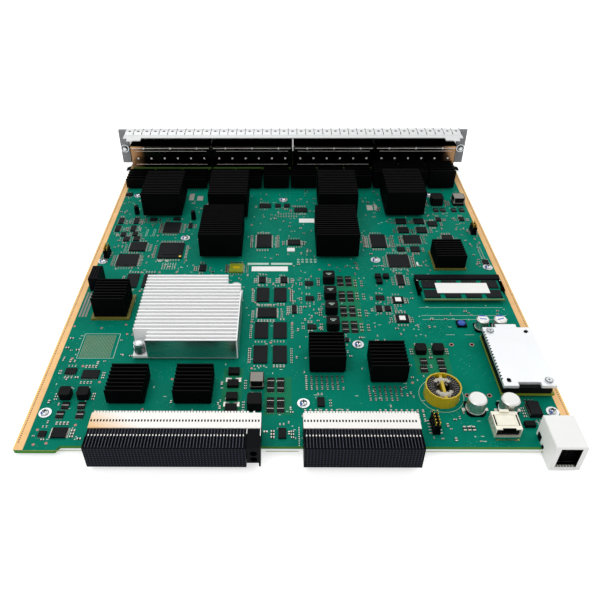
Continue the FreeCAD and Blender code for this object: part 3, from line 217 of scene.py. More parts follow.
# Mould compound of chip packages: sandblasted epoxy, charcoal.
COMPOUND = finish("mould_compound", "#101214", 0.6, grain=0.08, grain_mm=0.3, bump=0.01, tone=0.15,
                  tone_mm=8, shine=0.1)
# Pressed iron powder of power inductors: stone-like dark grey.
FERRITE = finish("pressed_ferrite", "#08080a", 0.55, grain=0.1, grain_mm=0.4, bump=0.03, tone=0.2,
                 tone_mm=4, shine=0.08)
# Ceramic capacitors: fired titanate, brown and slightly waxy.
CERAMIC = finish("fired_ceramic", "#5d4338", 0.5, grain=0.08, grain_mm=0.3, tone=0.2, tone_mm=2,
                 shine=0.4)
# Resistor glaze: printed over alumina and fired, so glassy black.
GLAZE = finish("resistor_glaze", "#0c0d10", 0.35, grain=0.06, grain_mm=0.3, tone=0.15, tone_mm=2,
               shine=0.2)
# Pale ferrite beads, inductor cases and stripes: sintered or screened, dull light grey.
PALE = finish("sintered_bead", "#8a8780", 0.6, grain=0.08, grain_mm=0.3, tone=0.15, tone_mm=2,
              shine=0.4)
# Power entry shell: polished white polyester, slightly waxy.
POLYESTER = finish("white_polyester", "#f8f9f6", 0.45, grain_mm=0.8, bump=0.005, tone=0.03,
                   tone_mm=12, shine=0.4)
# Capacitor can: drawn aluminium, satin with a bright turned edge.
CAN = finish("drawn_can", "#cfcfcb", 0.3, 0.95, grain=0.06, grain_mm=0.5, tone=0.05, tone_mm=4,
             shine=0.103)
# Choke tape: glossy yellow polyester film with small wrinkles.
YELLOW = finish("yellow_tape", "#c6aa0c", 0.3, grain=0.08, grain_mm=1.4, bump=0.25, tone=0.2,
                tone_mm=4, shine=0.6)
# Enamelled copper wire: varnished, nearly black with thin highlights.
ENAMEL = finish("enamelled_wire", "#100d0b", 0.25, ior=1.6, grain_mm=0.5, tone=0.2, tone_mm=3,
                shine=0.4)
# Silicone fixing compound: poured and cured, off-white and lumpy.
SILICONE = finish("white_silicone", "#bdb8aa", 0.6, ior=1.41, grain=0.1, grain_mm=1.2, bump=0.15,
                  tone=0.15, tone_mm=3)
# Thread-locking patch, polarity marks and coil cap: thin plastic film, flat blue.
BLUE = finish("blue_patch", "#1c4fb0", 0.4, grain_mm=0.4, tone_mm=2)
# Mask of the converter's own board: yellow-green over bare laminate.
LIME = finish("lime_mask", "#7d8c22", 0.4, tone=0.15, tone_mm=5, shine=0.35)
# Seams between black mouldings: a painted highlight, slightly bluer and lighter, where their edges catch
# the light.
SEAM_HIGHLIGHT = finish("painted_seam_highlight", "#3a3f50", 0.4, ior=1.53, grain=0.06, shine=0.3)
# Inside of holes, slots, recesses and contact cells: painted shade, rough and nearly black, where no light
# reaches.
DARK = finish("painted_shade", "#020203", 0.8, ior=1.45, shine=0.02)
# Rear edge of the port board: mask over laminate in the shade of the cages, dark olive.
OLIVE = finish("olive_board_edge", "#42602a", 0.6, grain=0.06, tone=0.2, tone_mm=6, shine=0.1)
# Open array pads: tinned copper under a dull flux film, khaki.
KHAKI = finish("fluxed_pad", "#aba888", 0.6, 0.1, tone_mm=3, shine=0.2)
# Copper seen down a plated hole: brown for the copper, and dark as painted shade of the bore.
HOLE = finish("plated_hole", "#4a3220", 0.6, 0.3, grain=0.08, tone=0.2, tone_mm=3, shine=0.085)


# Sizes of the board's pattern in millimetres. Real tracks are about 0.2 apart and vias about 0.3
# across, so both are drawn coarser than they are, to show.
POUR_SIZE = 22
BUNDLE_SIZE = 13
TRACK_PITCH = 0.62
TRACK_CLOUD = 17
VIA_SPACING = 2.3
VIA_REACH = 0.16
VIA_CLOUD = 20


def board_surface():
    """Solder mask on both faces, with pours, tracks and vias, and sawn laminate on the edges."""
    material, tree, shader, colour = copied(MASK, "solder_masked_board")
    place = add(tree, "ShaderNodeTexCoord").outputs["Object"]
    # Copper pours read as pale angular patches a few centimetres across.
    pours = add(tree, "ShaderNodeTexVoronoi", {"Vector": place, "Scale": 1 / (POUR_SIZE * MM)},
                distance="MANHATTAN").outputs["Color"]
    patch = add(tree, "ShaderNodeMapRange", {"Value": pours, 1: 0.55, 2: 0.6})
    patch = add(tree, "ShaderNodeMath", {0: patch, 1: 0.5}, operation="MULTIPLY")
    colour = add(tree, "ShaderNodeMix", {0: patch, 6: colour, 7: linear("#027f6a")},
                 data_type="RGBA").outputs[2]
    # Fine routed tracks, in bundles that run along the card or across it.
    parts = add(tree, "ShaderNodeSeparateXYZ", {0: place}).outputs
    bundles = add(tree, "ShaderNodeTexVoronoi", {"Vector": place, "Scale": 1 / (BUNDLE_SIZE * MM)},
                  distance="CHEBYCHEV").outputs["Color"]
    turn = add(tree, "ShaderNodeMath", {0: bundles, 1: 0.5}, operation="GREATER_THAN")
    across = add(tree, "ShaderNodeMix", {0: turn, 2: parts[0], 3: parts[1]})
    rate = 2 * math.pi / (TRACK_PITCH * MM)
    wave = add(tree, "ShaderNodeMath", {0: across, 1: rate}, operation="MULTIPLY")
    wave = add(tree, "ShaderNodeMath", {0: wave}, operation="SINE")
    line = add(tree, "ShaderNodeMath", {0: wave, 1: 0.55}, operation="GREATER_THAN")
    size = 1 / (TRACK_CLOUD * MM)
    held = add(tree, "ShaderNodeTexNoise", {"Vector": place, "Scale": size, "Detail": 1.0})
    held = add(tree, "ShaderNodeMath", {0: held, 1: 0.5}, operation="GREATER_THAN")
    track = add(tree, "ShaderNodeMath", {0: line, 1: held}, operation="MULTIPLY")
    share = add(tree, "ShaderNodeMath", {0: track, 1: 0.35}, operation="MULTIPLY")
    colour = add(tree, "ShaderNodeMix", {0: share, 6: colour, 7: linear("#0a8a71")},
                 data_type="RGBA").outputs[2]
    # Vias: small pale dots, thick where the routing is thick.
    dots = add(tree, "ShaderNodeTexVoronoi", {"Vector": place, "Scale": 1 / (VIA_SPACING * MM)})
    via = add(tree, "ShaderNodeMath", {0: dots.outputs["Distance"], 1: VIA_REACH}, operation="LESS_THAN")
    crowd = add(tree, "ShaderNodeTexNoise", {"Vector": place, "Scale": 1 / (VIA_CLOUD * MM), "Detail": 2.0})
    crowd = add(tree, "ShaderNodeMath", {0: crowd, 1: 0.5}, operation="GREATER_THAN")
    via = add(tree, "ShaderNodeMath", {0: via, 1: crowd}, operation="MULTIPLY")
    share = add(tree, "ShaderNodeMath", {0: via, 1: 0.6}, operation="MULTIPLY")
    colour = add(tree, "ShaderNodeMix", {0: share, 6: colour, 7: linear("#55a892")},
                 data_type="RGBA").outputs[2]
    # Sawn laminate where the face looks sideways.
    normal = add(tree, "ShaderNodeNewGeometry").outputs["True Normal"]
    upright = add(tree, "ShaderNodeSeparateXYZ", {0: normal}).outputs[2]
    upright = add(tree, "ShaderNodeMath", {0: upright}, operation="ABSOLUTE")
    side = add(tree, "ShaderNodeMath", {0: upright, 1: 0.5}, operation="LESS_THAN")
    colour = add(tree, "ShaderNodeMix", {0: side, 6: colour, 7: linear("#4f8a3a")},
                 data_type="RGBA").outputs[2]
    tree.links.new(colour, shader.inputs["Base Color"])
    relief = add(tree, "ShaderNodeBump", {"Strength": 0.3, "Distance": 0.03 * MM, "Height": track})
    tree.links.new(relief.outputs[0], shader.inputs["Normal"])
    return material


def contact_grid(name, colour, pitch_x, pitch_z, reach):
    """Black moulding pierced by a grid of contacts on the faces that look forwards or backwards."""
    material, tree, shader, under = copied(NYLON, name)
    place = add(tree, "ShaderNodeTexCoord").outputs["Object"]
    parts = add(tree, "ShaderNodeSeparateXYZ", {0: place}).outputs
    normal = add(tree, "ShaderNodeNewGeometry").outputs["True Normal"]
    facing = add(tree, "ShaderNodeSeparateXYZ", {0: normal}).outputs[1]
    facing = add(tree, "ShaderNodeMath", {0: facing}, operation="ABSOLUTE")
    spot = add(tree, "ShaderNodeMath", {0: facing, 1: 0.5}, operation="GREATER_THAN")
    for axis, pitch in ((0, pitch_x), (2, pitch_z)):
        turns = add(tree, "ShaderNodeMath", {0: parts[axis], 1: pitch * MM}, operation="DIVIDE")
        turns = add(tree, "ShaderNodeMath", {0: turns}, operation="FRACT")
        off = add(tree, "ShaderNodeMath", {0: turns, 1: 0.5}, operation="SUBTRACT")
        off = add(tree, "ShaderNodeMath", {0: off}, operation="ABSOLUTE")
        near = add(tree, "ShaderNodeMath", {0: off, 1: reach}, operation="LESS_THAN")
        spot = add(tree, "ShaderNodeMath", {0: spot, 1: near}, operation="MULTIPLY")
    mixed = add(tree, "ShaderNodeMix", {0: spot, 6: under, 7: linear(colour)}, data_type="RGBA")
    tree.links.new(mixed.outputs[2], shader.inputs["Base Color"])
    return material


def painted_reflection(name, base, colour, measure, start, end, dull=False):
    """A finish with a painted reflection: it turns warm towards a place, as bright metal would where it
    faces copper.
    """
    material, tree, shader, under = copied(base, name)
    # The clouds are drawn over the node's own box, so they are fine.
    cloud = add(tree, "ShaderNodeTexNoise", {"Scale": 1 / 0.006, "Detail": 2.0})
    cloud = add(tree, "ShaderNodeMath", {0: cloud, 1: 0.45}, operation="ADD")
    place = add(tree, "ShaderNodeTexCoord").outputs["Object"]
    parts = add(tree, "ShaderNodeSeparateXYZ", {0: place}).outputs
    share = add(tree, "ShaderNodeMapRange", {0: measure(tree, parts), 1: start * MM, 2: end * MM})
    share = add(tree, "ShaderNodeMath", {0: share, 1: cloud}, operation="MULTIPLY")
    mixed = add(tree, "ShaderNodeMix", {0: share, 6: under, 7: linear(colour)}, data_type="RGBA")
    tree.links.new(mixed.outputs[2], shader.inputs["Base Color"])
    if dull:
        lost = add(tree, "ShaderNodeMath", {0: share, 1: 0.7}, operation="MULTIPLY")
        metal = add(tree, "ShaderNodeMath", {0: 1.0, 1: lost}, operation="SUBTRACT")
        tree.links.new(metal.outputs[0], shader.inputs["Metallic"])
    return material


def from_middle(tree, parts):
    """Distance to either side of the card's middle."""
    return add(tree, "ShaderNodeMath", {0: parts[0]}, operation="ABSOLUTE")


def from_left_rear(tree, parts):
    """Nearness to the left rear corner, along a slant; it is 0 at the corner and negative beyond."""
    rise = add(tree, "ShaderNodeMath", {0: parts[1], 1: -BOARD_LO.y}, operation="ADD")
    slant = add(tree, "ShaderNodeMath", {0: rise, 1: 1.6}, operation="MULTIPLY")
    along = add(tree, "ShaderNodeMath", {0: parts[0], 1: -BOARD_LO.x}, operation="ADD")
    along = add(tree, "ShaderNodeMath", {0: along, 1: slant}, operation="ADD")
    return add(tree, "ShaderNodeMath", {0: along, 1: -1.0}, operation="MULTIPLY")


def bright_fronts():
    """Cage sheet painted dark as shade, with its bright sheared edges on the faces towards the ports."""
    material, tree, shader, under = copied(NICKEL, "nickel_cage_shell")
    normal = add(tree, "ShaderNodeNewGeometry").outputs["True Normal"]
    facing = add(tree, "ShaderNodeSeparateXYZ", {0: normal}).outputs[1]
    front = add(tree, "ShaderNodeMath", {0: facing, 1: 0.5}, operation="GREATER_THAN")
    mixed = add(tree, "ShaderNodeMix", {0: front, 6: under, 7: linear("#c6c8c8")}, data_type="RGBA")
    tree.links.new(mixed.outputs[2], shader.inputs["Base Color"])
    return material


# ---- mesh helpers

def ring(bm, x, y, z, r, sides):
    """A round row of vertices that lies flat."""
    turns = [2 * math.pi * k / sides for k in range(sides)]
    return [bm.verts.new(at(x + r * math.cos(t), y + r * math.sin(t), z)) for t in turns]


def hoop(bm, x, y, z, r, sides):
    """A round row of vertices that stands across Y."""
    turns = [2 * math.pi * k / sides for k in range(sides)]
    return [bm.verts.new(at(x + r * math.cos(t), y, z + r * math.sin(t))) for t in turns]


def wall(bm, low, high, smooth=False):
    """Faces between two closed rows of vertices."""
    for k in range(len(low)):
        n = (k + 1) % len(low)
        bm.faces.new((low[k], low[n], high[n], high[k])).smooth = smooth


def add_face(bm, *points):
    """Adds one flat face."""
    bm.faces.new([bm.verts.new(at(*point)) for point in points])


def add_box(bm, x0, x1, y0, y1, z0, z1, taper=0.0):
    """Adds one block; taper pulls its upper face in on every side."""
    t = taper
    upper = ((x0 + t, y0 + t), (x1 - t, y0 + t), (x1 - t, y1 - t), (x0 + t, y1 - t))
    low = [bm.verts.new(at(x, y, z0)) for x, y in ((x0, y0), (x1, y0), (x1, y1), (x0, y1))]
    high = [bm.verts.new(at(x, y, z1)) for x, y in upper]
    bm.faces.new(high)
    bm.faces.new(low[::-1])
    wall(bm, low, high)


def add_disc(bm, x, y, z0, z1, d, sides, inner=0.0):
    """Adds one short round land, or a ring when inner is set."""
    low, high = [ring(bm, x, y, z, d / 2, sides) for z in (z0, z1)]
    wall(bm, low, high)
    if not inner:
        bm.faces.new(high)
        bm.faces.new(low[::-1])
        return
    in_low, in_high = [ring(bm, x, y, z, inner / 2, sides) for z in (z0, z1)]
    wall(bm, high, in_high)
    wall(bm, in_high, in_low)
    wall(bm, in_low, low)


def add_dome(bm, x, y, z0, d, tall, sides):
    """Adds one low rounded head."""
    steps = 5
    angles = [math.pi / 2 * step / (steps + 0.6) for step in range(steps + 1)]
    rings = [ring(bm, x, y, z0 + tall * math.sin(a), d / 2 * math.cos(a), sides) for a in angles]
    for low, high in zip(rings, rings[1:]):
        wall(bm, low, high, True)
    bm.faces.new(rings[-1])
    bm.faces.new(rings[0][::-1])


def add_spot(bm, x, y0, y1, z, d, sides=12):
    """Adds one short round boss that lies along Y."""
    low, high = [hoop(bm, x, y, z, d / 2, sides) for y in (y0, y1)]
    bm.faces.new(low)
    bm.faces.new(high[::-1])
    wall(bm, high, low)


def add_collar(bm, x, y0, y1, z, d, inner, sides=20):
    """Adds one short ring that lies along Y."""
    corners = ((y0, d), (y1, d), (y1, inner), (y0, inner))
    rows = [hoop(bm, x, y, z, across / 2, sides) for y, across in corners]
    for here, there in zip(rows, rows[1:] + rows[:1]):
        wall(bm, there, here)


def add_turn(bm, x, y, angle, top):
    """Adds one wire turn: a low ridge that runs outwards from the middle of a ring."""
    c, s = math.cos(angle), math.sin(angle)
    near, far, half_near, half_far = 4.6, 11.0, 0.25, 0.45

    def corner(r, off, rise=0.0):
        return bm.verts.new(at(x + r * c - off * s, y + r * s + off * c, top + rise))
    a, b = corner(near, -half_near), corner(far, -half_far)
    e, f = corner(far, half_far), corner(near, half_near)
    g, h = corner(near, 0.0, 0.5), corner(far, 0.0, 0.8)
    for face in ((a, b, h, g), (g, h, e, f), (b, e, h), (a, g, f), (a, f, e, b)):
        bm.faces.new(face)


def linked(name, data):
    """Puts a mesh, a lamp or a camera into the scene."""
    made = bpy.data.objects.new(name, data)
    bpy.context.scene.collection.objects.link(made)
    return made


def build(name, material, *groups, body="card"):
    """Makes one piece from pairs of an add function and the places it is used at."""
    bm = bmesh.new()
    for add_one, places in groups:
        for place in places:
            add_one(bm, *place)
    mesh = bpy.data.meshes.new(name)
    bm.to_mesh(mesh)
    bm.free()
    mesh.materials.append(material)
    made = linked(name, mesh)
    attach(made, body)
    return made


def boxes(name, material, places):
    """One piece made of many blocks."""
    return build(name, material, (add_box, places))


def around(middle, half):
    return middle - half, middle + half


def centre(lo, hi):
    """Middle of a solid's box, seen from above."""
    return (lo[0] + hi[0]) / 2, (lo[1] + hi[1]) / 2


def grown(lo, hi, by):
    """Plan of a solid's box, larger on every side."""
    return lo[0] - by, hi[0] + by, lo[1] - by, hi[1] + by


def outline(x0, x1, y0, y1, width, z0=SKIN, z1=PRINT):
    """Four blocks that draw a rectangle."""
    return [(x0, x1, y0, y0 + width, z0, z1), (x0, x1, y1 - width, y1, z0, z1),
            (x0, x0 + width, y0 + width, y1 - width, z0, z1),
            (x1 - width, x1, y0 + width, y1 - width, z0, z1)]


def cross(x, y, arm, half, z0, z1):
    """Two blocks that make the recess of a cross-head screw."""
    return [(*around(x, a), *around(y, b), z0, z1) for a, b in ((arm, half), (half, arm))]


def solids(name):
    """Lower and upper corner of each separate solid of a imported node."""
    bm = bmesh.new()
    bm.from_mesh(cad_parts[name].data)
    bmesh.ops.remove_doubles(bm, verts=bm.verts, dist=1e-6)
    found = []
    seen = set()
    for start in bm.verts:
        if start in seen:
            continue
        stack = [start]
        seen.add(start)
        points = []
        while stack:
            vert = stack.pop()
            points.append(card(vert.co))
            for edge in vert.link_edges:
                other = edge.other_vert(vert)
                if other not in seen:
                    seen.add(other)
                    stack.append(other)
        axes = list(zip(*points))
        found.append(([min(axis) for axis in axes], [max(axis) for axis in axes]))
    bm.free()
    return found


# ---- board trim

def guide_strips():
    """Bare copper guide strips with a via row, the gold rims, and the lip of the rear edge."""
    rear_left, rear_right, front = 0.6, 5.0, BOARD_D - 2.0
    strip_right, rim_right = BOARD_W - EDGE_STRIP, BOARD_W - MASK_EDGE
    boxes("guide_strips", COPPER, [(MASK_EDGE, EDGE_STRIP, rear_left, front, 0, SKIN),
                                   (strip_right, rim_right, rear_right, front, 0, SKIN)])
    boxes("guide_rims", GOLD, [(0.0, MASK_EDGE, rear_left, front, 0, 1.4 * SKIN),
                               (rim_right, BOARD_W, rear_right, front, 0, 1.4 * SKIN)])
    pitch = inset = 1.75
    rows = [rear_right + 2 + k * pitch for k in range(int((front - rear_right - 4) / pitch))]
    vias = [(x, y, SKIN, PAD, 0.95, 7) for y in rows for x in (inset, BOARD_W - inset)]
    build("guide_strip_vias", HOLE, (add_disc, vias))
    lips = ((7.0, 48.0), (162.0, 183.0), (262.0, 338.0))
    boxes("rear_edge_lip", LIME, [(x0, x1, 0.0, 0.5, 0, SKIN) for x0, x1 in lips])


# Areas that the layout leaves open: no scattered parts or ticks there. Elsewhere they come where
# a slow wave over the card is above a level.
OPEN_AREAS = ((286, 50, 326, 118), (8, 111.8, 60, 150), (50, 62, 130, 81), (18, 83, 47.5, 112),
              (88, 205, 144, 236))
TICK_COUNT, TICK_LEVEL = 520, -0.9


def in_open_area(x, y):
    return any(x0 < x < x1 and y0 < y < y1 for x0, y0, x1, y1 in OPEN_AREAS)


def legend():
    """Printed outlines, rings, rules, corner marks and ticks, with no lettering."""
    marks = outline(18.9, 46.6, 84.0, 111.4, 0.35)
    marks += [(284, 352, y, y + 0.28, SKIN, PRINT) for y in (143.5, 133.5, 128.5)]
    for lo, hi in solids("flat_packages") + solids("memory_chips")[:8]:
        x, y = lo[0], hi[1]
        marks += [(x - 1.0, x - 0.6, y + 0.2, y + 1.0, SKIN, PRINT),
                  (x - 1.0, x + 0.2, y + 0.9, y + 1.15, SKIN, PRINT)]
    marks += [(x, x + 7, 110.5, 110.8, SKIN, PRINT) for x in (299, 314, 330, 345)]
    marks += [(x, x + 19, 203.2, 206.2, SKIN, PAD) for x in (141, 162)]
    for x in (41.0, 47.9):
        marks += outline(x, x + 1.6, 250, 262, 0.25)
    spots = [(186.5 + 3.8 * i, 207.6 + 3.6 * j) for j in range(2) for i in range(5)]
    rings = [(x, y, SKIN, PRINT, 2.3, 12, 1.1) for x, y in spots]
    rings.append((283, 48, SKIN, PRINT, 31.0, 48, 30.4))
    build("legend_marks", LEGEND, (add_box, marks), (add_disc, rings))
    rng = random.Random(23)
    ticks = []
    for _ in range(TICK_COUNT):
        x, y = rng.uniform(10, BOARD_W - 12), rng.uniform(8, 336)
        wide, deep = rng.choice(((1.5, 0.6), (0.6, 1.6), (0.9, 0.9), (2.2, 0.5)))
        busy = math.sin(x * 0.05 + 0.6) + math.sin(y * 0.05) + math.sin((x - y) * 0.037)
        if busy > TICK_LEVEL and not in_open_area(x, y):
            ticks.append((x, x + wide, y, y + deep, SKIN, PRINT))
    boxes("legend_ticks", LEGEND, ticks)
    stripes = (8.0, 10.5, 13.0)
    boxes("edge_stripes", PALE, [(x, x + 1.5, 131.5, 163.5, 0, SKIN) for x in stripes])


def blank_labels():
    """Places where the real card is labelled, left blank."""
    boxes("blank_labels", PAPER, [(145, 177, 193.6, 200.6, 0, 0.12),
                                  (188.5, 203.5, 274.3, 281.7, 0, 0.1)])


TEST_LANDS = (
    (11, 17), (12, 5), (20, 6), (35, 21), (42, 60), (77, 35), (26, 76), (16, 84), (93.5, 63),
    (48.5, 122), (51.5, 111), (51.5, 165), (147, 168), (178, 169), (162, 147), (148, 126),
    (180, 123.5), (163.5, 101.5), (53, 251), (85, 210), (53, 219), (48, 192), (64, 192), (79, 192),
    (136, 30), (150, 74), (150, 150), (205, 196), (214, 203), (238, 199), (246, 240), (300, 290),
    (318, 288), (340, 262), (336, 240), (284, 290), (120, 270), (142, 270), (30, 118), (8, 120),
    (100, 180), (112, 175), (84, 176), (72, 172), (265, 60))
POWER_PADS = (
    (74.5, 79.5, 318, 332), (83, 89, 317.5, 327), (258, 264, 298, 308),
    (265.5, 268.5, 297.5, 308.5), (60, 63, 208, 211), (66.5, 69.5, 208, 211),
    (132, 136, 60.5, 64.5), (139, 143, 60.5, 64.5), (132, 136, 37.5, 41.5), (139, 143, 37.5, 41.5))
POURS = ((160, 179, 30, 65), (218.5, 236.5, 113, 186), (130, 144, 31, 74), (270, 296, 68, 99))


def lands():
    """Round test lands, the empty footprints, power pads and copper pours."""
    build("test_lands", LAND, (add_disc, [(x, y, 0, PAD, 2.0, 12) for x, y in TEST_LANDS]))
    open_pads = [(65 + i * 2.3, 197 + j * 2.1, 0, PAD, 1.0, 6) for i in range(6) for j in range(5)]
    open_pads += [(x, 216.5 + j * 1.9, 0, PAD, 1.0, 6) for j in range(9) for x in (352.6, 355.0)]
    open_pads += [(183.5, 4.8 + j * 1.8, 0, PAD, 0.9, 6) for j in range(9)]
    build("open_footprints", TIN, (add_disc, open_pads))
    columns, rows, pitch = 21, 22, 1.12
    array = [(20.9 + i * pitch, 85.4 + j * pitch, 0, PAD, 0.7, 6)
             for i in range(columns) for j in range(rows)]
    build("open_grid_array", KHAKI, (add_disc, array))
    boxes("power_pads", TIN, [(*pad, 0, PAD) for pad in POWER_PADS])
    boxes("pour_areas", MASK_POUR, [(*pour, 0, 0.5 * SKIN) for pour in POURS])


# ---- leads and small parts

def lead_row(along_x, start, end, edge, side, z, pitch, reach):
    """Blocks of a row of bent leads that leave a package at one edge, towards one side."""
    count = max(2, int((end - start - 0.6) / pitch) + 1)
    first = (start + end - (count - 1) * pitch) / 2
    shoulder = (0.2, 0.0, 0.45, z * 0.45, z * 0.45 + 0.16)
    foot = (0.22, 0.4, 1.0, SKIN, 0.2)
    blocks = []
    for index in range(count):
        for half, near, far, z0, z1 in (shoulder, foot):
            width = around(first + index * pitch, half)
            length = tuple(sorted((edge + side * reach * near, edge + side * reach * far)))
            blocks.append((*(width + length if along_x else length + width), z0, z1))
    return blocks


def lead_rows(along_x, lo, hi, z, pitch=0.9, reach=1.3):
    """Leads on two opposite sides of a package."""
    along, out = (0, 1) if along_x else (1, 0)
    return [block for edge, side in ((lo[out], -1), (hi[out], 1))
            for block in lead_row(along_x, lo[along], hi[along], edge, side, z, pitch, reach)]


def package_leads():
    """Leads on all four sides of the large flat packages, on two sides of the small ones."""
    blocks = []
    for lo, hi in solids("flat_packages"):
        w, d = hi[0] - lo[0], hi[1] - lo[1]
        leaded = w * d < 480
        if leaded and w > 15.8 and d > 12:
            blocks += lead_rows(True, lo, hi, hi[2])
        if leaded and w > 5.5:
            blocks += lead_rows(False, lo, hi, hi[2])
    for lo, hi in solids("small_packages"):
        blocks += lead_rows(hi[1] - lo[1] <= hi[0] - lo[0], lo, hi, hi[2], LEAD_PITCH, 1.0)
    for lo, hi in solids("power_transistors"):
        blocks += lead_row(True, lo[0], hi[0], lo[1], -1, 0.6, LEAD_PITCH, 0.7)
        blocks.append((lo[0] + 0.3, hi[0] - 0.3, hi[1], hi[1] + 0.7, SKIN, 0.25))
    boxes("package_leads", TIN, blocks)


def package_marks():
    """Pin-one dimples and the raised moulded middles of the large packages."""
    dimples = [(lo[0] + 1.4, hi[1] - 1.4, hi[2], hi[2] + 0.03, 0.9, 10)
               for lo, hi in solids("flat_packages") + solids("memory_chips")]
    build("pin_one_marks", FERRITE, (add_disc, dimples))
    boxes("package_middles", COMPOUND, [(62.5, 76.5, 217, 232, 1.5, 1.9),
                                        (151, 159, 233, 248, 1.5, 1.7),
                                        (258, 266, 233, 248, 1.5, 1.7)])
    boxes("corner_marks", GOLD, [(78.2, 80.2, 213.4, 215.4, 1.5, 1.56)])


NOT_IN_THE_WAY = ("circuit_board", "carrier_plate", "face_panel", "emi_strip", "port_board",
                  "connector_stiffeners")
RESERVED = ((145, 193, 177, 207), (20, 85, 45, 110), (283, 140, 359, 186), (188, 273, 204, 282))
REAR_LIMIT, FRONT_LIMIT = 6, 366
HOST_MARGIN, PART_MARGIN = 1.2, 0.3
CROWD_STEP = 2.4
SCATTER_COUNT, SCATTER_LEVEL = 1500, -0.7


class Chips:
    """Collects two-ended chip parts: bodies in three finishes and their tinned ends."""

    def __init__(self):
        self.taken = list(RESERVED)
        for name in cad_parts:
            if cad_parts[name].data and name not in NOT_IN_THE_WAY:
                for lo, hi in solids(name):
                    if hi[2] > 0 and lo[2] < 4.5 and hi[0] - lo[0] < 130:
                        self.take(*grown(lo, hi, HOST_MARGIN))
        self.ends = []
        self.bodies = {"ceramic": [], "glaze": [], "pale": []}

    def take(self, x0, x1, y0, y1):
        self.taken.append((x0, y0, x1, y1))

    def free(self, x, y, w, d):
        if x - w / 2 < EDGE_STRIP + 1 or x + w / 2 > BOARD_W - EDGE_STRIP - 1:
            return False
        if y - d / 2 < REAR_LIMIT or y + d / 2 > FRONT_LIMIT:
            return False
        return not any(x + w / 2 > x0 and x - w / 2 < x1 and y + d / 2 > y0 and y - d / 2 < y1
                       for x0, y0, x1, y1 in self.taken)

    def put(self, x, y, length, along_x, kind):
        wide = length * 0.55
        w, d = (length, wide) if along_x else (wide, length)
        if not self.free(x, y, w, d):
            return
        margin = PART_MARGIN
        self.take(x - w / 2 - margin, x + w / 2 + margin, y - d / 2 - margin, y + d / 2 + margin)
        tall = length * (0.45 if kind == "ceramic" else 0.3)
        half, end = length / 2, length * 0.24

        def block(a0, a1, b, top):
            """Runs from a0 to a1 along the part and b to either side of its axis."""
            if along_x:
                return x + a0, x + a1, y - b, y + b, SKIN, top
            return x - b, x + b, y + a0, y + a1, SKIN, top
        self.bodies[kind].append(block(end - half, half - end, wide / 2, tall))
        self.ends.append(block(-half - 0.2, end - half, wide / 2 + 0.1, tall * 0.97))
        self.ends.append(block(half - end, half + 0.2, wide / 2 + 0.1, tall * 0.97))

    def row(self, x, y, count, step, length, kind, upward=False):
        """Parts side by side: those of an upward row lie along X, the others along Y."""
        for index in range(count):
            right, up = (0, index * step) if upward else (index * step, 0)
            self.put(x + right, y + up, length, upward, kind)

    def make(self):
        boxes("chip_part_ends", TIN, self.ends)
        boxes("ceramic_capacitors", CERAMIC, self.bodies["ceramic"])
        boxes("chip_resistors", GLAZE, self.bodies["glaze"])
        boxes("pale_chip_parts", PALE, self.bodies["pale"])


def chip_parts():
    """Named rows of chip parts first, then the small parts that crowd round each package."""
    chips = Chips()
    for x, rows in ((189.5, ((65, 8), (61, 8), (57.5, 7), (54, 8))),
                    (233.5, ((55, 8), (51.5, 7), (48, 8), (44, 6)))):
        for y, count in rows:
            chips.row(x, y, count, 3.7, 2.0, "glaze")
    for x in (292.5, 295.5, 298.5):
        chips.put(x, 18.5, 3.2, False, "glaze")
    for y in (176, 158, 136.5, 119):
        chips.row(234.5, y - 4, 3, 3.6, 2.0, "ceramic", True)
        chips.row(240.0, y - 4, 3, 3.2, 1.6, "ceramic", True)
        chips.row(203.0, y - 3, 3, 3.0, 1.8, "ceramic", True)
    for x in (143.2, 168.0, 248.6, 275.6):
        chips.row(x, 231, 8, 2.7, 1.7, "ceramic", True)
    for y in (290, 285):
        chips.row(168, y, 8, 2.6, 1.6, "ceramic")
    for x in (50, 116, 223, 290):
        for y in (274, 337.5):
            chips.row(x - 14, y, 12, 2.5, 1.5, "ceramic")
    for x in (188, 239):
        for y in (33.5, 29.5, 25.5):
            chips.row(x, y, 9, 3.6, 2.0, "pale")
    rng = random.Random(7)
    kinds = ["ceramic", "ceramic", "glaze", "pale"]
    hosts = solids("flat_packages") + solids("small_packages") + solids("memory_chips")[:8]
    for lo, hi in hosts + solids("power_inductors"):
        for side in range(4):
            kind = rng.choice(kinds)
            size = rng.choice((1.2, 1.6, 2.0))
            gap = rng.uniform(2.6, 4.2)
            upward = side >= 2
            across = 0 if upward else 1
            place = hi[across] + gap if side % 2 else lo[across] - gap
            x, y = (place, lo[1] + 1) if upward else (lo[0] + 1, place)
            count = int((hi[1 - across] - lo[1 - across]) / CROWD_STEP)
            chips.row(x, y, count, CROWD_STEP, size, kind, upward)
    for _ in range(SCATTER_COUNT):
        x = rng.uniform(9, BOARD_W - 9)
        y = rng.uniform(8, 338)
        busy = math.sin(x * 0.075) + math.sin(y * 0.06 + 1.4) + math.sin((x + y) * 0.045)
        if busy > SCATTER_LEVEL and not in_open_area(x, y):
            length, along_x = rng.choice((1.1, 1.3, 1.7, 2.2)), rng.random() < 0.5
            chips.put(x, y, length, along_x, rng.choice(kinds))
    chips.make()


def washer_screws():
    """Zinc washers, bright pan heads with dark recesses, and a blue patch of thread lock."""
    places = [centre(lo, hi) for lo, hi in solids("board_screws")]
    washers = [(x, y, 0.0, 0.8, 8.6, 40, 3.6) for x, y in places]
    rings = build("screw_washers", ZINC, (add_disc, washers))
    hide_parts("board_screws")
    build("screw_heads", MIRROR, (add_dome, [(x, y, 0.8, 5.4, 1.9, 32) for x, y in places]))
    bars = [bar for x, y in places for bar in cross(x, y, 1.6, 0.35, 2.2, 2.76)]
    boxes("screw_recesses", DARK, bars)
    patches = [(x - 1.5, y - 1.2, 1.3, 2.3, 2.0, 10) for x, y in places]
    build("thread_lock", BLUE, (add_disc, patches))


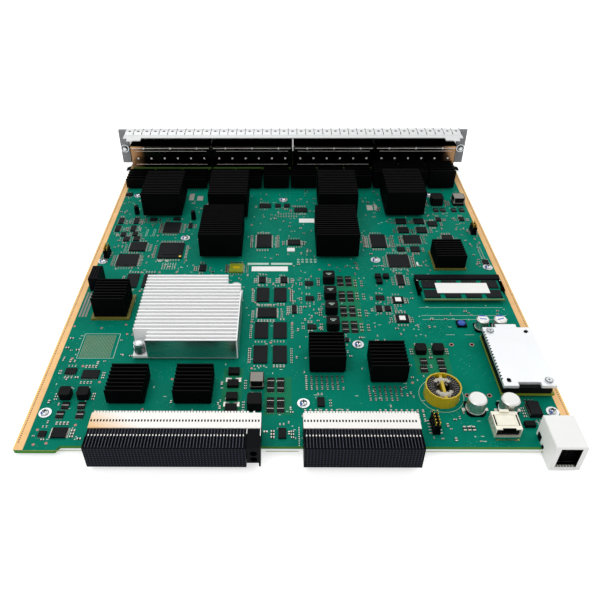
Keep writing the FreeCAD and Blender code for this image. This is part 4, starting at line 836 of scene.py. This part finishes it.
# ---- cages and panel

def cage_trim():
    """Pegs, sockets, dimples and ribs on the rear covers, and the shade round the ferrules."""
    covers = solids("cage_rear_covers")
    spots, ribs, sockets, shade_rings = [], [], [], []
    for lo, hi in covers:
        for column in range(PORT_COLUMNS):
            x = lo[0] + (column + 0.5) * PORT_PITCH - 0.2
            spots.append((x, hi[1] - 1.2, hi[1] - 1.0, lo[2] + 10.8, 2.2))
            sockets.append((x, hi[1] - 0.6, hi[1] - 0.4, lo[2] + 10.4, 3.6, 16))
        for third in range(3):
            x = lo[0] + (hi[0] - lo[0]) * (third + 0.5) / 3
            spots.append((x, lo[1] - 0.1, lo[1] - 0.02, hi[2] - 1.9, 2.1))
        for z in (lo[2] + 3.5, lo[2] + 18.8):
            ribs.append((lo[0] + 4, hi[0] - 4, lo[1] + 0.45, lo[1] + 0.5, z, z + 0.3))
        ribs.append((lo[0] + 1, hi[0] - 1, lo[1] - 0.04, lo[1], hi[2] - 2.2, hi[2] - 1.6))
    lo, hi = covers[1]
    seams = [(x, x + 0.4, lo[1] + 0.2, hi[1] + 34, hi[2] - 0.2, hi[2] + 0.36)
             for x in (hi[0] + 0.1, hi[0] + 1.9)]
    boxes("cage_seam_edges", SATIN, seams)
    # Painted shade: a dark ring round each ferrule.
    for lo, hi in solids("screw_ferrules"):
        x, z = (lo[0] + hi[0]) / 2, (lo[2] + hi[2]) / 2
        shade_rings.append((x, lo[1] - 0.06, lo[1] + 0.02, z, 7.4, 5.4))
    build("ferrule_shade_rings", DARK, (add_collar, shade_rings))
    build("cover_highlights", SATIN, (add_spot, spots), (add_box, ribs))
    build("peg_sockets", DARK, (add_spot, sockets))


def finger_holes():
    """Shadow under the hole of each contact finger and between the fingers."""
    lo, hi = solids("emi_strip")[0]
    pitch = (hi[0] - lo[0]) / FINGER_COUNT
    holes, gaps = [], []
    for index in range(FINGER_COUNT):
        hole, gap = lo[0] + (index + 0.5) * pitch, lo[0] + (index + 1) * pitch
        holes.append((hole, hi[1] - 8.0, hi[2] - 0.25, hi[2] + 0.02, 2.9, 10))
        gaps.append((*around(gap, 0.3), hi[1] - 14.5, hi[1], lo[2] + 0.02, hi[2] - 0.15))
    build("finger_holes", DARK, (add_disc, holes), (add_box, gaps))


# ---- connectors and power entry

def connector_detail():
    """Punched dots and teeth on the stiffeners, bright wafer tips and edges, painted highlights on the hood
    seams.
    """
    dots, teeth, tips, seams = [], [], [], []
    for lo, hi in solids("connector_stiffeners"):
        top = hi[2]
        for index in range(int((hi[0] - lo[0]) / WAFER_PITCH)):
            x = lo[0] + 1.0 + index * WAFER_PITCH
            dots.append((*around(x, 0.5), 9.1, 10.9, top, top + 0.03))
        for index in range(int((hi[0] - lo[0] - 4.6) / (2 * WAFER_PITCH)) + 1):
            x = lo[0] + 3.8 + 2 * index * WAFER_PITCH
            teeth.append((*around(x, 0.6), hi[1] - 1.4, hi[1], top - 0.8, top))
    for lo, hi in solids("connector_insulators"):
        top = hi[2]
        for index in range(int((hi[0] - lo[0]) / WAFER_PITCH)):
            x = lo[0] + 1.8 + index * WAFER_PITCH
            tips.append((*around(x, 0.38), hi[1] + 0.4, hi[1] + 1.8, top - 0.8, top - 0.4, 0.08))
            seams.append((*around(x, 0.15), lo[1] + 0.5, hi[1], top, top + 0.05))
            seams.append((*around(x, 0.15), hi[1] + 2.4, 4.1, top - 0.8, top - 0.7))
    boxes("stiffener_dots", DARK, dots)
    boxes("stiffener_teeth", SATIN, teeth)
    boxes("wafer_tips", SATIN, tips)
    # Painted highlight along the seams of the hoods.
    boxes("hood_seams", SEAM_HIGHLIGHT, seams)
    boxes("guide_block_edges", SATIN, [(150.35, 150.75, 0.2, 4.2, 17.2, 17.5),
                                       (158.8, 159.2, -1.5, 4.2, 17.2, 17.5)])


def power_entry():
    """Painted shade in the white shell's cavity, contact ribs, a slotted floor, two latches and a clip."""
    lo, hi = solids("power_socket")[0]
    x0, x1 = lo[0] + 3.2, hi[0] - 3.2
    y0, y1 = lo[1] + 0.15, lo[1] + 16.8
    z0, z1 = lo[2] + 3.05, hi[2] - 1.65
    t = 0.25
    face = y0 + 4.3
    # Painted shade: dark side walls, roof and back lining the white shell's cavity.
    boxes("socket_cavity_shade", DARK, [(x0, x0 + t, y0, y1, z0, z1), (x1 - t, x1, y0, y1, z0, z1),
                                  (x0, x1, y0, y1, z1 - t, z1), (x0, x1, face, y1, z0, z1)])
    levels = [z0 + 1.4 + 2.1 * k for k in range(6)]
    ribs = [(x0 + t, x1 - t, face - 0.12, face, z, z + 0.2) for z in levels]
    ribs += [(*around(x, 0.1), face - 0.12, face, z0, z1) for x in (x0 + 3.3, x0 + 6.5, x0 + 9.8)]
    boxes("socket_contacts", FERRITE, ribs)
    boxes("socket_floor", DARK, [(x0 + t, x1 - t, y0 + 1.7, face - 0.15, z0, z0 + 0.12)])
    columns = [x0 + 0.9 + k * (x1 - x0 - 2.2) / 6 for k in range(7)]
    slots = [(x, x + 0.9, y0 + 0.1, y0 + 1.5, z0, z0 + 0.3) for x in columns]
    boxes("socket_floor_slots", PALE, slots)
    boxes("socket_latches", NYLON, [(lo[0] - 0.6, lo[0], 8.0, 12.5, 0.6, 5.0),
                                    (lo[0] - 0.6, lo[0], 2.2, 4.2, 0.3, 2.4)])
    boxes("socket_clip", ZINC, [(hi[0], hi[0] + 0.35, lo[1] + 1.5, lo[1] + 4.0,
                                 hi[2] - 6.5, hi[2] - 2.5)])


# ---- coolers

def cooler_detail():
    """Mirror end fin and side, springs on the screws, and the rims and balls of the packages."""
    lo, hi = solids("aluminium_cooler")[0]
    boxes("cooler_end_fin", MIRROR, [(lo[0] + 11.0, hi[0] - 0.8, lo[1] - 0.05, lo[1] + 0.01,
                                      lo[2] + 0.4, hi[2] - 0.5)])
    boxes("cooler_side_skin", MIRROR, [(hi[0], hi[0] + 0.05, lo[1] + 1.0, hi[1] - 23,
                                        lo[2] + 1.0, hi[2] - 0.3)])
    coils, caps, spring_shade = [], [], []
    for lo, hi in solids("cooler_screws"):
        x, y = centre(lo, hi)
        levels = [lo[2] + 0.7 + 1.3 * k for k in range(5)]
        coils += [(x, y, z, z + 0.5, 8.5, 20, 7.5) for z in levels]
        caps.append((x, y, hi[2], hi[0] - lo[0] - 0.6, 1.2, 20))
        # Painted shade: a black core in each spring, seen between its turns.
        spring_shade.append((x, y, lo[2] + 0.1, lo[2] + 6.9, 7.7, 20))
    build("cooler_springs", ZINC, (add_disc, coils), (add_dome, caps))
    build("cooler_spring_shade", NYLON, (add_disc, spring_shade))
    rims, balls, pitch = [], [], 1.3
    for lo, hi in solids("cooled_packages"):
        if not 27 < hi[0] - lo[0] < 31:
            continue
        rims += outline(*grown(lo, hi, 0.06), 2.6, 0.1, hi[2] + 0.05)
        for k in range(int((hi[0] - lo[0]) / pitch)):
            x, y = lo[0] + 0.9 + k * pitch, lo[1] + 0.9 + k * pitch
            balls += [(*around(x, 0.35), lo[1] - 0.12, lo[1] - 0.05, 0.1, 0.7),
                      (hi[0] + 0.05, hi[0] + 0.12, *around(y, 0.35), 0.1, 0.7)]
    boxes("array_substrates", SUBSTRATE, rims)
    boxes("array_balls", GOLD, balls)


# ---- parts of the lower right corner

def converter_detail():
    """Dark comb along the lid's edge, black holes, the parts under the lid and its screw heads."""
    lo, hi = solids("converter_plate")[0]
    top = hi[2]
    rows = [lo[1] + 6 + k * 3.0 for k in range(17)]
    comb = [(lo[0] - 0.03, lo[0] + 0.9, y, y + 1.1, top - 1.6, top + 0.03) for y in rows]
    boxes("lid_comb", DARK, comb)
    plans = ((lo[0] + 0.3, lo[0] + 2.1, lo[1] + 1.2, hi[1] - 5.0),
             (lo[0] + 1.5, hi[0] - 2.2, lo[1] + 0.6, lo[1] + 2.1))
    boxes("converter_side_parts", FERRITE, [(*plan, 4.1, lo[2] - 0.05) for plan in plans])
    holes = [(x, y, top, top + 0.04, 2.9, 20) for x, y in ((354.4, 100.3), (328.0, 51.3))]
    build("lid_holes", DARK, (add_disc, holes))
    heads, slots, rings = [], [], []
    for lo, hi in solids("converter_screws"):
        (x, y), top = centre(lo, hi), hi[2]
        heads.append((x, y, top, top + 0.5, 4.2, 24))
        slots += cross(x, y, 1.2, 0.2, top + 0.45, top + 0.53)
        rings.append((x, y, top + 0.05, top + 0.1, 5.4, 24, 4.6))
    build("lid_screw_heads", ZINC, (add_disc, heads))
    build("lid_screw_recesses", DARK, (add_box, slots), (add_disc, rings))


def choke_detail():
    """Wire turns on the ring choke, glints on them and the white compound that holds them."""
    x, y = centre(*solids("ring_core")[0])
    top = solids("ring_winding")[0][1][2]
    angles = [side + math.radians(-58 + 116 * k / 11) for side in (0, math.pi) for k in range(12)]
    build("choke_turns", ENAMEL, (add_turn, [(x, y, angle, top) for angle in angles]))
    glints = []
    for angle in angles:
        c, s = math.cos(angle), math.sin(angle)
        ends = ((6.2, 0.03), (10.4, 0.06), (10.4, -0.06), (6.2, -0.03))
        glints.append([(x + r * c - v * s, y + r * s + v * c, top + 0.53 + (r - 5.2) * 0.056)
                       for r, v in ends])
    build("choke_glints", TIN, (add_face, glints))
    lumps = []
    for sign in (-1, 1):
        for k in range(7):
            angle = math.radians(90 * sign - 42 + 14 * k)
            r = 6.6 + (0.5 if k % 2 else 0.0)
            c, s = math.cos(angle), math.sin(angle)
            lumps.append((x + r * c, y + r * s, top - 2.2, 5.2 - 0.3 * (k % 3), 2.9, 14))
    build("choke_compound", SILICONE, (add_dome, lumps))


def can_detail():
    """Pale tops, foot rings, solder tabs and blue marks of the cans, sleeved posts and a coil."""
    sizes = [(lo, hi, hi[0] - lo[0]) for lo, hi in solids("bulk_capacitors")]
    cans = [can for can in sizes if can[2] > 8]
    tops, rings, tabs, marks, sleeves = [], [], [], [], []
    for lo, hi, d in cans:
        x, y = centre(lo, hi)
        tops.append((x, y, hi[2], hi[2] + 0.05, d - 1.8, 32))
        rings += [(x, y, lo[2], lo[2] + 0.9, d + 0.5, 32),
                  (x, y, lo[2] + 2.2, lo[2] + 2.5, d + 0.12, 32)]
    for lo, hi, d in cans[:2]:
        y = centre(lo, hi)[1]
        tabs += [(lo[0] - 2.6, lo[0] - 0.2, *around(y, 1.3), SKIN, 0.5),
                 (hi[0] + 0.2, hi[0] + 2.6, *around(y, 1.3), SKIN, 0.5)]
    for lo, hi, d in cans[2:]:
        (x, y), r, z = centre(lo, hi), d / 2 - 0.9, hi[2] + 0.08
        arc = [math.radians(a) for a in range(35, 146, 10)]
        marks.append([(x + r * math.cos(a), y + r * math.sin(a), z) for a in arc])
        tilt = 0.35 if x > 335 else -0.15
        bar = ((-2.6, -0.5), (2.6, -0.5), (2.6, 0.5), (-2.6, 0.5))
        marks.append([(x + u, y - 0.6 + v + tilt * u, z) for u, v in bar])
    for lo, hi, d in sizes:
        if d < 8:
            x, y = centre(lo, hi)
            sleeves += [(x, y, SKIN, 6.5, 5.0, 16), (x, y, 6.5, hi[2] + 0.1, 4.4, 16)]
    build("can_tops", PAPER, (add_disc, tops))
    build("can_rings", CAN, (add_disc, rings))
    boxes("can_tabs", TIN, tabs)
    build("can_marks", BLUE, (add_face, marks))
    build("post_sleeves", NYLON, (add_disc, sleeves))
    build("coil_cap", BLUE, (add_dome, [(313.5, 122.5, 1.6, 6.4, 1.8, 24)]))
    boxes("coil_foot", NYLON, [(309.8, 317.2, 118.9, 126.1, SKIN, 1.7)])


def shield_detail():
    """Raised frame, slots and solder pads of the metal shield beside the power entry."""
    lo, hi = solids("clip_choke")[0]
    x0, x1, y0, y1, z = lo[0], hi[0], lo[1], hi[1], hi[2]
    bars = outline(x0 + 2.2, x1 - 2.2, y0 + 3.2, y1 - 3.2, 0.7, z, z + 0.35)
    boxes("shield_frame", SHIELD, bars + [(x0 + 5.5, x1 - 5.5, y1 - 2.2, y1 - 0.2, z, z + 1.3)])
    boxes("shield_slots", DARK, [(x0 + 0.7, x0 + 1.6, y0 + 3.0, y1 - 3.6, z, z + 0.04),
                                 (x1 - 1.6, x1 - 0.7, y0 + 3.0, y1 - 3.6, z, z + 0.04),
                                 (x0 + 4.2, x1 - 4.2, y0 - 0.04, y0 + 0.9, z - 3.4, z + 0.04)])
    pads = [x0 + 0.4 + 2.3 * k for k in range(7)]
    boxes("shield_pads", GOLD, [(x, x + 1.5, y0 - 2.6, y0 - 1.6, SKIN, 0.12) for x in pads])
    boxes("side_part_ends", TIN, [(x, x + 1.4, 21.6, 24.2, SKIN, 1.3) for x in (338.2, 344.4)])


def module_detail():
    """Blank label, edge contacts and the laminate rim of the memory module."""
    lo, hi = solids("memory_module")[0]
    top = max(chip[1][2] for chip in solids("memory_chips") if chip[0][2] > 2)
    boxes("module_label", PAPER, [(300.5, 344.0, 155.6, 169.2, top, top + 0.08)])
    contacts = []
    for k in range(52):
        x = lo[0] + 2 + k * (hi[0] - lo[0] - 4) / 51
        contacts += [(*around(x, 0.28), hi[1] - 4.4, hi[1] - 0.6, hi[2], hi[2] + 0.03),
                     (*around(x, 0.28), lo[1] + 0.3, lo[1] + 1.0, hi[2], hi[2] + 0.03)]
    boxes("module_contacts", GOLD, contacts)
    boxes("module_rim", SUBSTRATE, [(lo[0], hi[0], lo[1] - 0.04, lo[1], lo[2], hi[2])])


# ---- details of single packages

def package_tops():
    """Pale tops of two packages and two pale parts."""
    boxes("pale_package_tops", PAPER, [(265.6, 270.4, 150.0, 155.0, 1.5, 1.62),
                                       (265.6, 270.4, 126.5, 131.5, 1.5, 1.62),
                                       (292, 293.4, 201.5, 206.5, SKIN, 0.8),
                                       (176.5, 183.5, 223.5, 228.5, SKIN, 1.2)])


def inductor_cases():
    """Grey cases of some power inductors."""
    grey = []
    for lo, hi in solids("power_inductors"):
        x, y = centre(lo, hi)
        if abs(x - 154.5) < 2 and abs(y - 58) < 3 or x > 350 and y > 300:
            grey.append((*grown(lo, hi, 0.05), hi[2] * 0.35, hi[2] + 0.06, 0.6))
    boxes("grey_inductor_cases", PALE, grey)


def green_package():
    """The one yellow-green package by the labels, with its plain yellow top."""
    for lo, hi in solids("flat_packages"):
        if lo[0] < 131.5 < hi[0] and lo[1] < 197 < hi[1]:
            top = hi[2] + 0.1
            boxes("green_package", LIME, [(*grown(lo, hi, 0.1), SKIN, top)])
            boxes("green_package_mark", YELLOW, [(lo[0] + 3, hi[0] - 3, lo[1] + 4.5, hi[1] - 4.0,
                                                  top, hi[2] + 0.16)])


def inductor_marks():
    """Two plain printed bars on each inductor of the middle row."""
    bars = []
    for lo, hi in solids("power_inductors"):
        if 205 < lo[0] < 225:
            (x, y), top = centre(lo, hi), hi[2]
            bars += [(*around(x, 2.4), y + 0.5, y + 1.2, top, top + 0.04),
                     (*around(x, 1.2), y - 1.2, y - 0.5, top, top + 0.04)]
    boxes("inductor_marks", LEGEND, bars)


def transistor_seams():
    """Tinned seam across the middle of each power transistor."""
    seams = []
    for lo, hi in solids("power_transistors"):
        y = centre(lo, hi)[1]
        seams.append((lo[0] + 0.1, hi[0] - 0.1, *around(y, 0.16), hi[2] * 0.3, hi[2] + 0.03))
    boxes("transistor_seams", TIN, seams)


def header_detail():
    """Black shrouds and tinned feet along the two sides of the pin headers."""
    shrouds, feet = [], []
    for lo, hi in solids("header_bases")[:3]:
        x, count = centre(lo, hi)[0], int((hi[1] - lo[1]) / 2.5)
        for k in range(count):
            y = lo[1] + (hi[1] - lo[1]) * (k + 0.5) / count
            for side in (-1, 1):
                pin = x + side * 1.27
                shrouds.append((*around(pin, 0.95), *around(y, 0.9), hi[2], hi[2] + 5.2))
                near, far = sorted((x + side * 2.5, x + side * 4.3))
                feet.append((near, far, *around(y, 0.32), SKIN, 0.5))
    boxes("header_shrouds", NYLON, shrouds)
    boxes("header_feet", TIN, feet)


def eyelets():
    """Plated eyelets with dark bores beside the converter."""
    places = [(x, y) for y in (99.5, 48) for x in (301, 316.5)]
    build("eyelets", LAND, (add_disc, [(x, y, SKIN, PRINT, 3.4, 20, 2.2) for x, y in places]))
    build("eyelet_bores", DARK, (add_disc, [(x, y, SKIN, PAD, 2.2, 16) for x, y in places]))


# ---- studio

# The floor and the eye are in metres of the scene, the shifts in sensor widths, turns in degrees.
BOARD_MIDDLE = (183, 204, 0)
FLOOR_HALF = 2.5
FLOOR_GAP = 0.0004
LENS_MM = 37.147
SENSOR_MM = 36.0
SHIFT = (0.0349, -0.01363)
TILT, TURN, ROLL = 51.764, 0.548, -0.291
EYE = (-0.00964, -0.45041, 0.3288)


def lamp(name, power, size, place):
    """A square soft box aimed at the middle of the board."""
    light = bpy.data.lights.new(name, "AREA")
    light.energy = power
    light.size = size
    light.shape = "SQUARE"
    spot = at(*place)
    aim = (spot - at(*BOARD_MIDDLE)).to_track_quat("Z", "Y").to_matrix().to_4x4()
    linked(name, light).matrix_world = Matrix.Translation(spot) @ aim


def light_level(tree, plain, strength, shown=1.0):
    """Lights the card at a plain strength, and shows another to the eye and in metal."""
    rays = add(tree, "ShaderNodeLightPath").outputs
    seen = rays["Is Camera Ray"]
    for other in ("Is Glossy Ray", "Is Transmission Ray"):
        seen = add(tree, "ShaderNodeMath", {0: seen, 1: rays[other]}, operation="MAXIMUM")
    level = add(tree, "ShaderNodeMix", {0: seen, 2: strength, 3: shown})
    tree.links.new(level.outputs[0], plain.inputs["Strength"])


def studio():
    """Pale floor under the card, a white surround and three soft boxes."""
    bpy.context.scene.view_settings.view_transform = "Standard"
    mesh = bpy.data.meshes.new("floor")
    corners = [(sx * FLOOR_HALF, sy * FLOOR_HALF, cad_box[0][2] - FLOOR_GAP)
               for sx, sy in ((-1, -1), (1, -1), (1, 1), (-1, 1))]
    mesh.from_pydata(corners, [], [(0, 1, 2, 3)])
    floor = linked("floor", mesh)
    # Matte seamless paper: diffuse white that keeps the shadow, lifted to white for the eye alone.
    paper = finish("seamless_paper", "#f4f4f4", 0.95, ior=1.3, grain=0.0, tone=0.0, shine=0.0)
    tree = paper.node_tree
    lift = add(tree, "ShaderNodeEmission", {"Color": (1.0, 1.0, 1.0, 1.0)})
    light_level(tree, lift, 0.0, 0.55)
    both = add(tree, "ShaderNodeAddShader", {0: tree.nodes["Principled BSDF"].outputs[0],
                                             1: lift.outputs[0]})
    tree.links.new(both.outputs[0], tree.nodes["Material Output"].inputs["Surface"])
    mesh.materials.append(paper)
    world = bpy.data.worlds.new("surround")
    bpy.context.scene.world = world
    world.use_nodes = True
    plain = world.node_tree.nodes["Background"]
    plain.inputs["Color"].default_value = (1.0, 1.0, 1.0, 1.0)
    light_level(world.node_tree, plain, 0.5)
    lamp("key", 3.0, 0.8, (-60, 620, 900))
    lamp("fill", 3.2, 0.9, (-300, -500, 800))
    lamp("rim", 1.6, 0.7, (760, 300, 700))


def camera():
    """A camera behind the backplane connectors that looks down along the card."""
    lens = bpy.data.cameras.new("camera")
    lens.lens = LENS_MM
    lens.sensor_width = SENSOR_MM
    lens.shift_x, lens.shift_y = SHIFT
    lens.clip_start = 0.01
    made = linked("camera", lens)
    turn = (Euler((math.radians(TILT), 0, math.radians(TURN))).to_matrix()
            @ Matrix.Rotation(math.radians(ROLL), 3, "Z"))
    made.matrix_world = Matrix.Translation(Vector(EYE)) @ turn.to_4x4()
    bpy.context.scene.camera = made


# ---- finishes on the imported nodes

def dress_all():
    """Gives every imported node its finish, in every slot."""
    half = BOARD_W / 2
    table = (
        (board_surface(), "circuit_board"),
        # Black nylon with the dim ends of the contacts in it.
        (contact_grid("insulator_cells", "#3c4358", WAFER_PITCH, 1.9, 0.17),
         "connector_insulators"),
        (contact_grid("port_connector_cells", "#a39d86", 0.8, 2.2, 0.2), "port_connectors"),
        (bright_fronts(), "cage_shells"),
        # Painted reflection: the bright sheet is coloured warm at the ends near the copper guide strips it
        # would mirror.
        (painted_reflection("cover_painted_copper_reflection", NICKEL, "#b48a62", from_middle, half - 24, half - 9, True),
         "cage_rear_covers"),
        # Painted reflection: the stiffener is coloured warm towards the copper strip at the left rear
        # corner.
        (painted_reflection("stiffener_painted_copper_reflection", SATIN, "#e2b67c", from_left_rear, -92, -60),
         "connector_stiffeners"),
        (OLIVE, "port_board"), (MASK, "memory_module"), (LIME, "converter_board"),
        (ZINC, "board_screws carrier_standoffs carrier_plate screw_ferrules screw_collar_left"
               " screw_collar_right captive_screw_left captive_screw_right pivot_pins"
               " port_board_posts cage_dividers port_separators cooler_screws converter_screws"),
        (STAINLESS, "face_panel emi_strip"), (GREY_PAINT, "end_ears"),
        (NYLON, "ejector_lever_left ejector_lever_right link_connectors connector_wafers"
                " guide_block capacitor_bases module_socket header_bases"),
        (NICKEL, "cage_floors module_latch_left module_latch_right"), (POLYESTER, "power_socket"),
        (GOLD, "power_blades header_pins"), (ANODISED, "large_sinks square_sinks low_sinks"),
        (ALUMINIUM, "aluminium_cooler"),
        (COMPOUND, "cooled_packages memory_chips flat_packages small_packages power_transistors"),
        (FERRITE, "power_inductors block_capacitors converter_core choke_core"),
        (CAN, "bulk_capacitors"), (TIN, "converter_pins"), (FROST, "converter_plate"),
        (YELLOW, "ring_core"), (ENAMEL, "ring_winding"), (SHIELD, "clip_choke"),
    )
    dressed = set()
    for material, names in table:
        for name in names.split():
            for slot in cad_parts[name].material_slots:
                slot.material = material
            dressed.add(name)
    missing = sorted(set(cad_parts) - dressed)
    if missing:
        raise ValueError("no finish for " + ", ".join(missing))


for make in (dress_all, guide_strips, legend, blank_labels, lands, package_leads, package_marks,
             chip_parts, washer_screws, cage_trim, finger_holes, connector_detail, power_entry,
             cooler_detail, converter_detail, choke_detail, can_detail, shield_detail,
             module_detail, package_tops, inductor_cases, green_package, inductor_marks,
             transistor_seams, header_detail, eyelets, studio, camera):
    make()
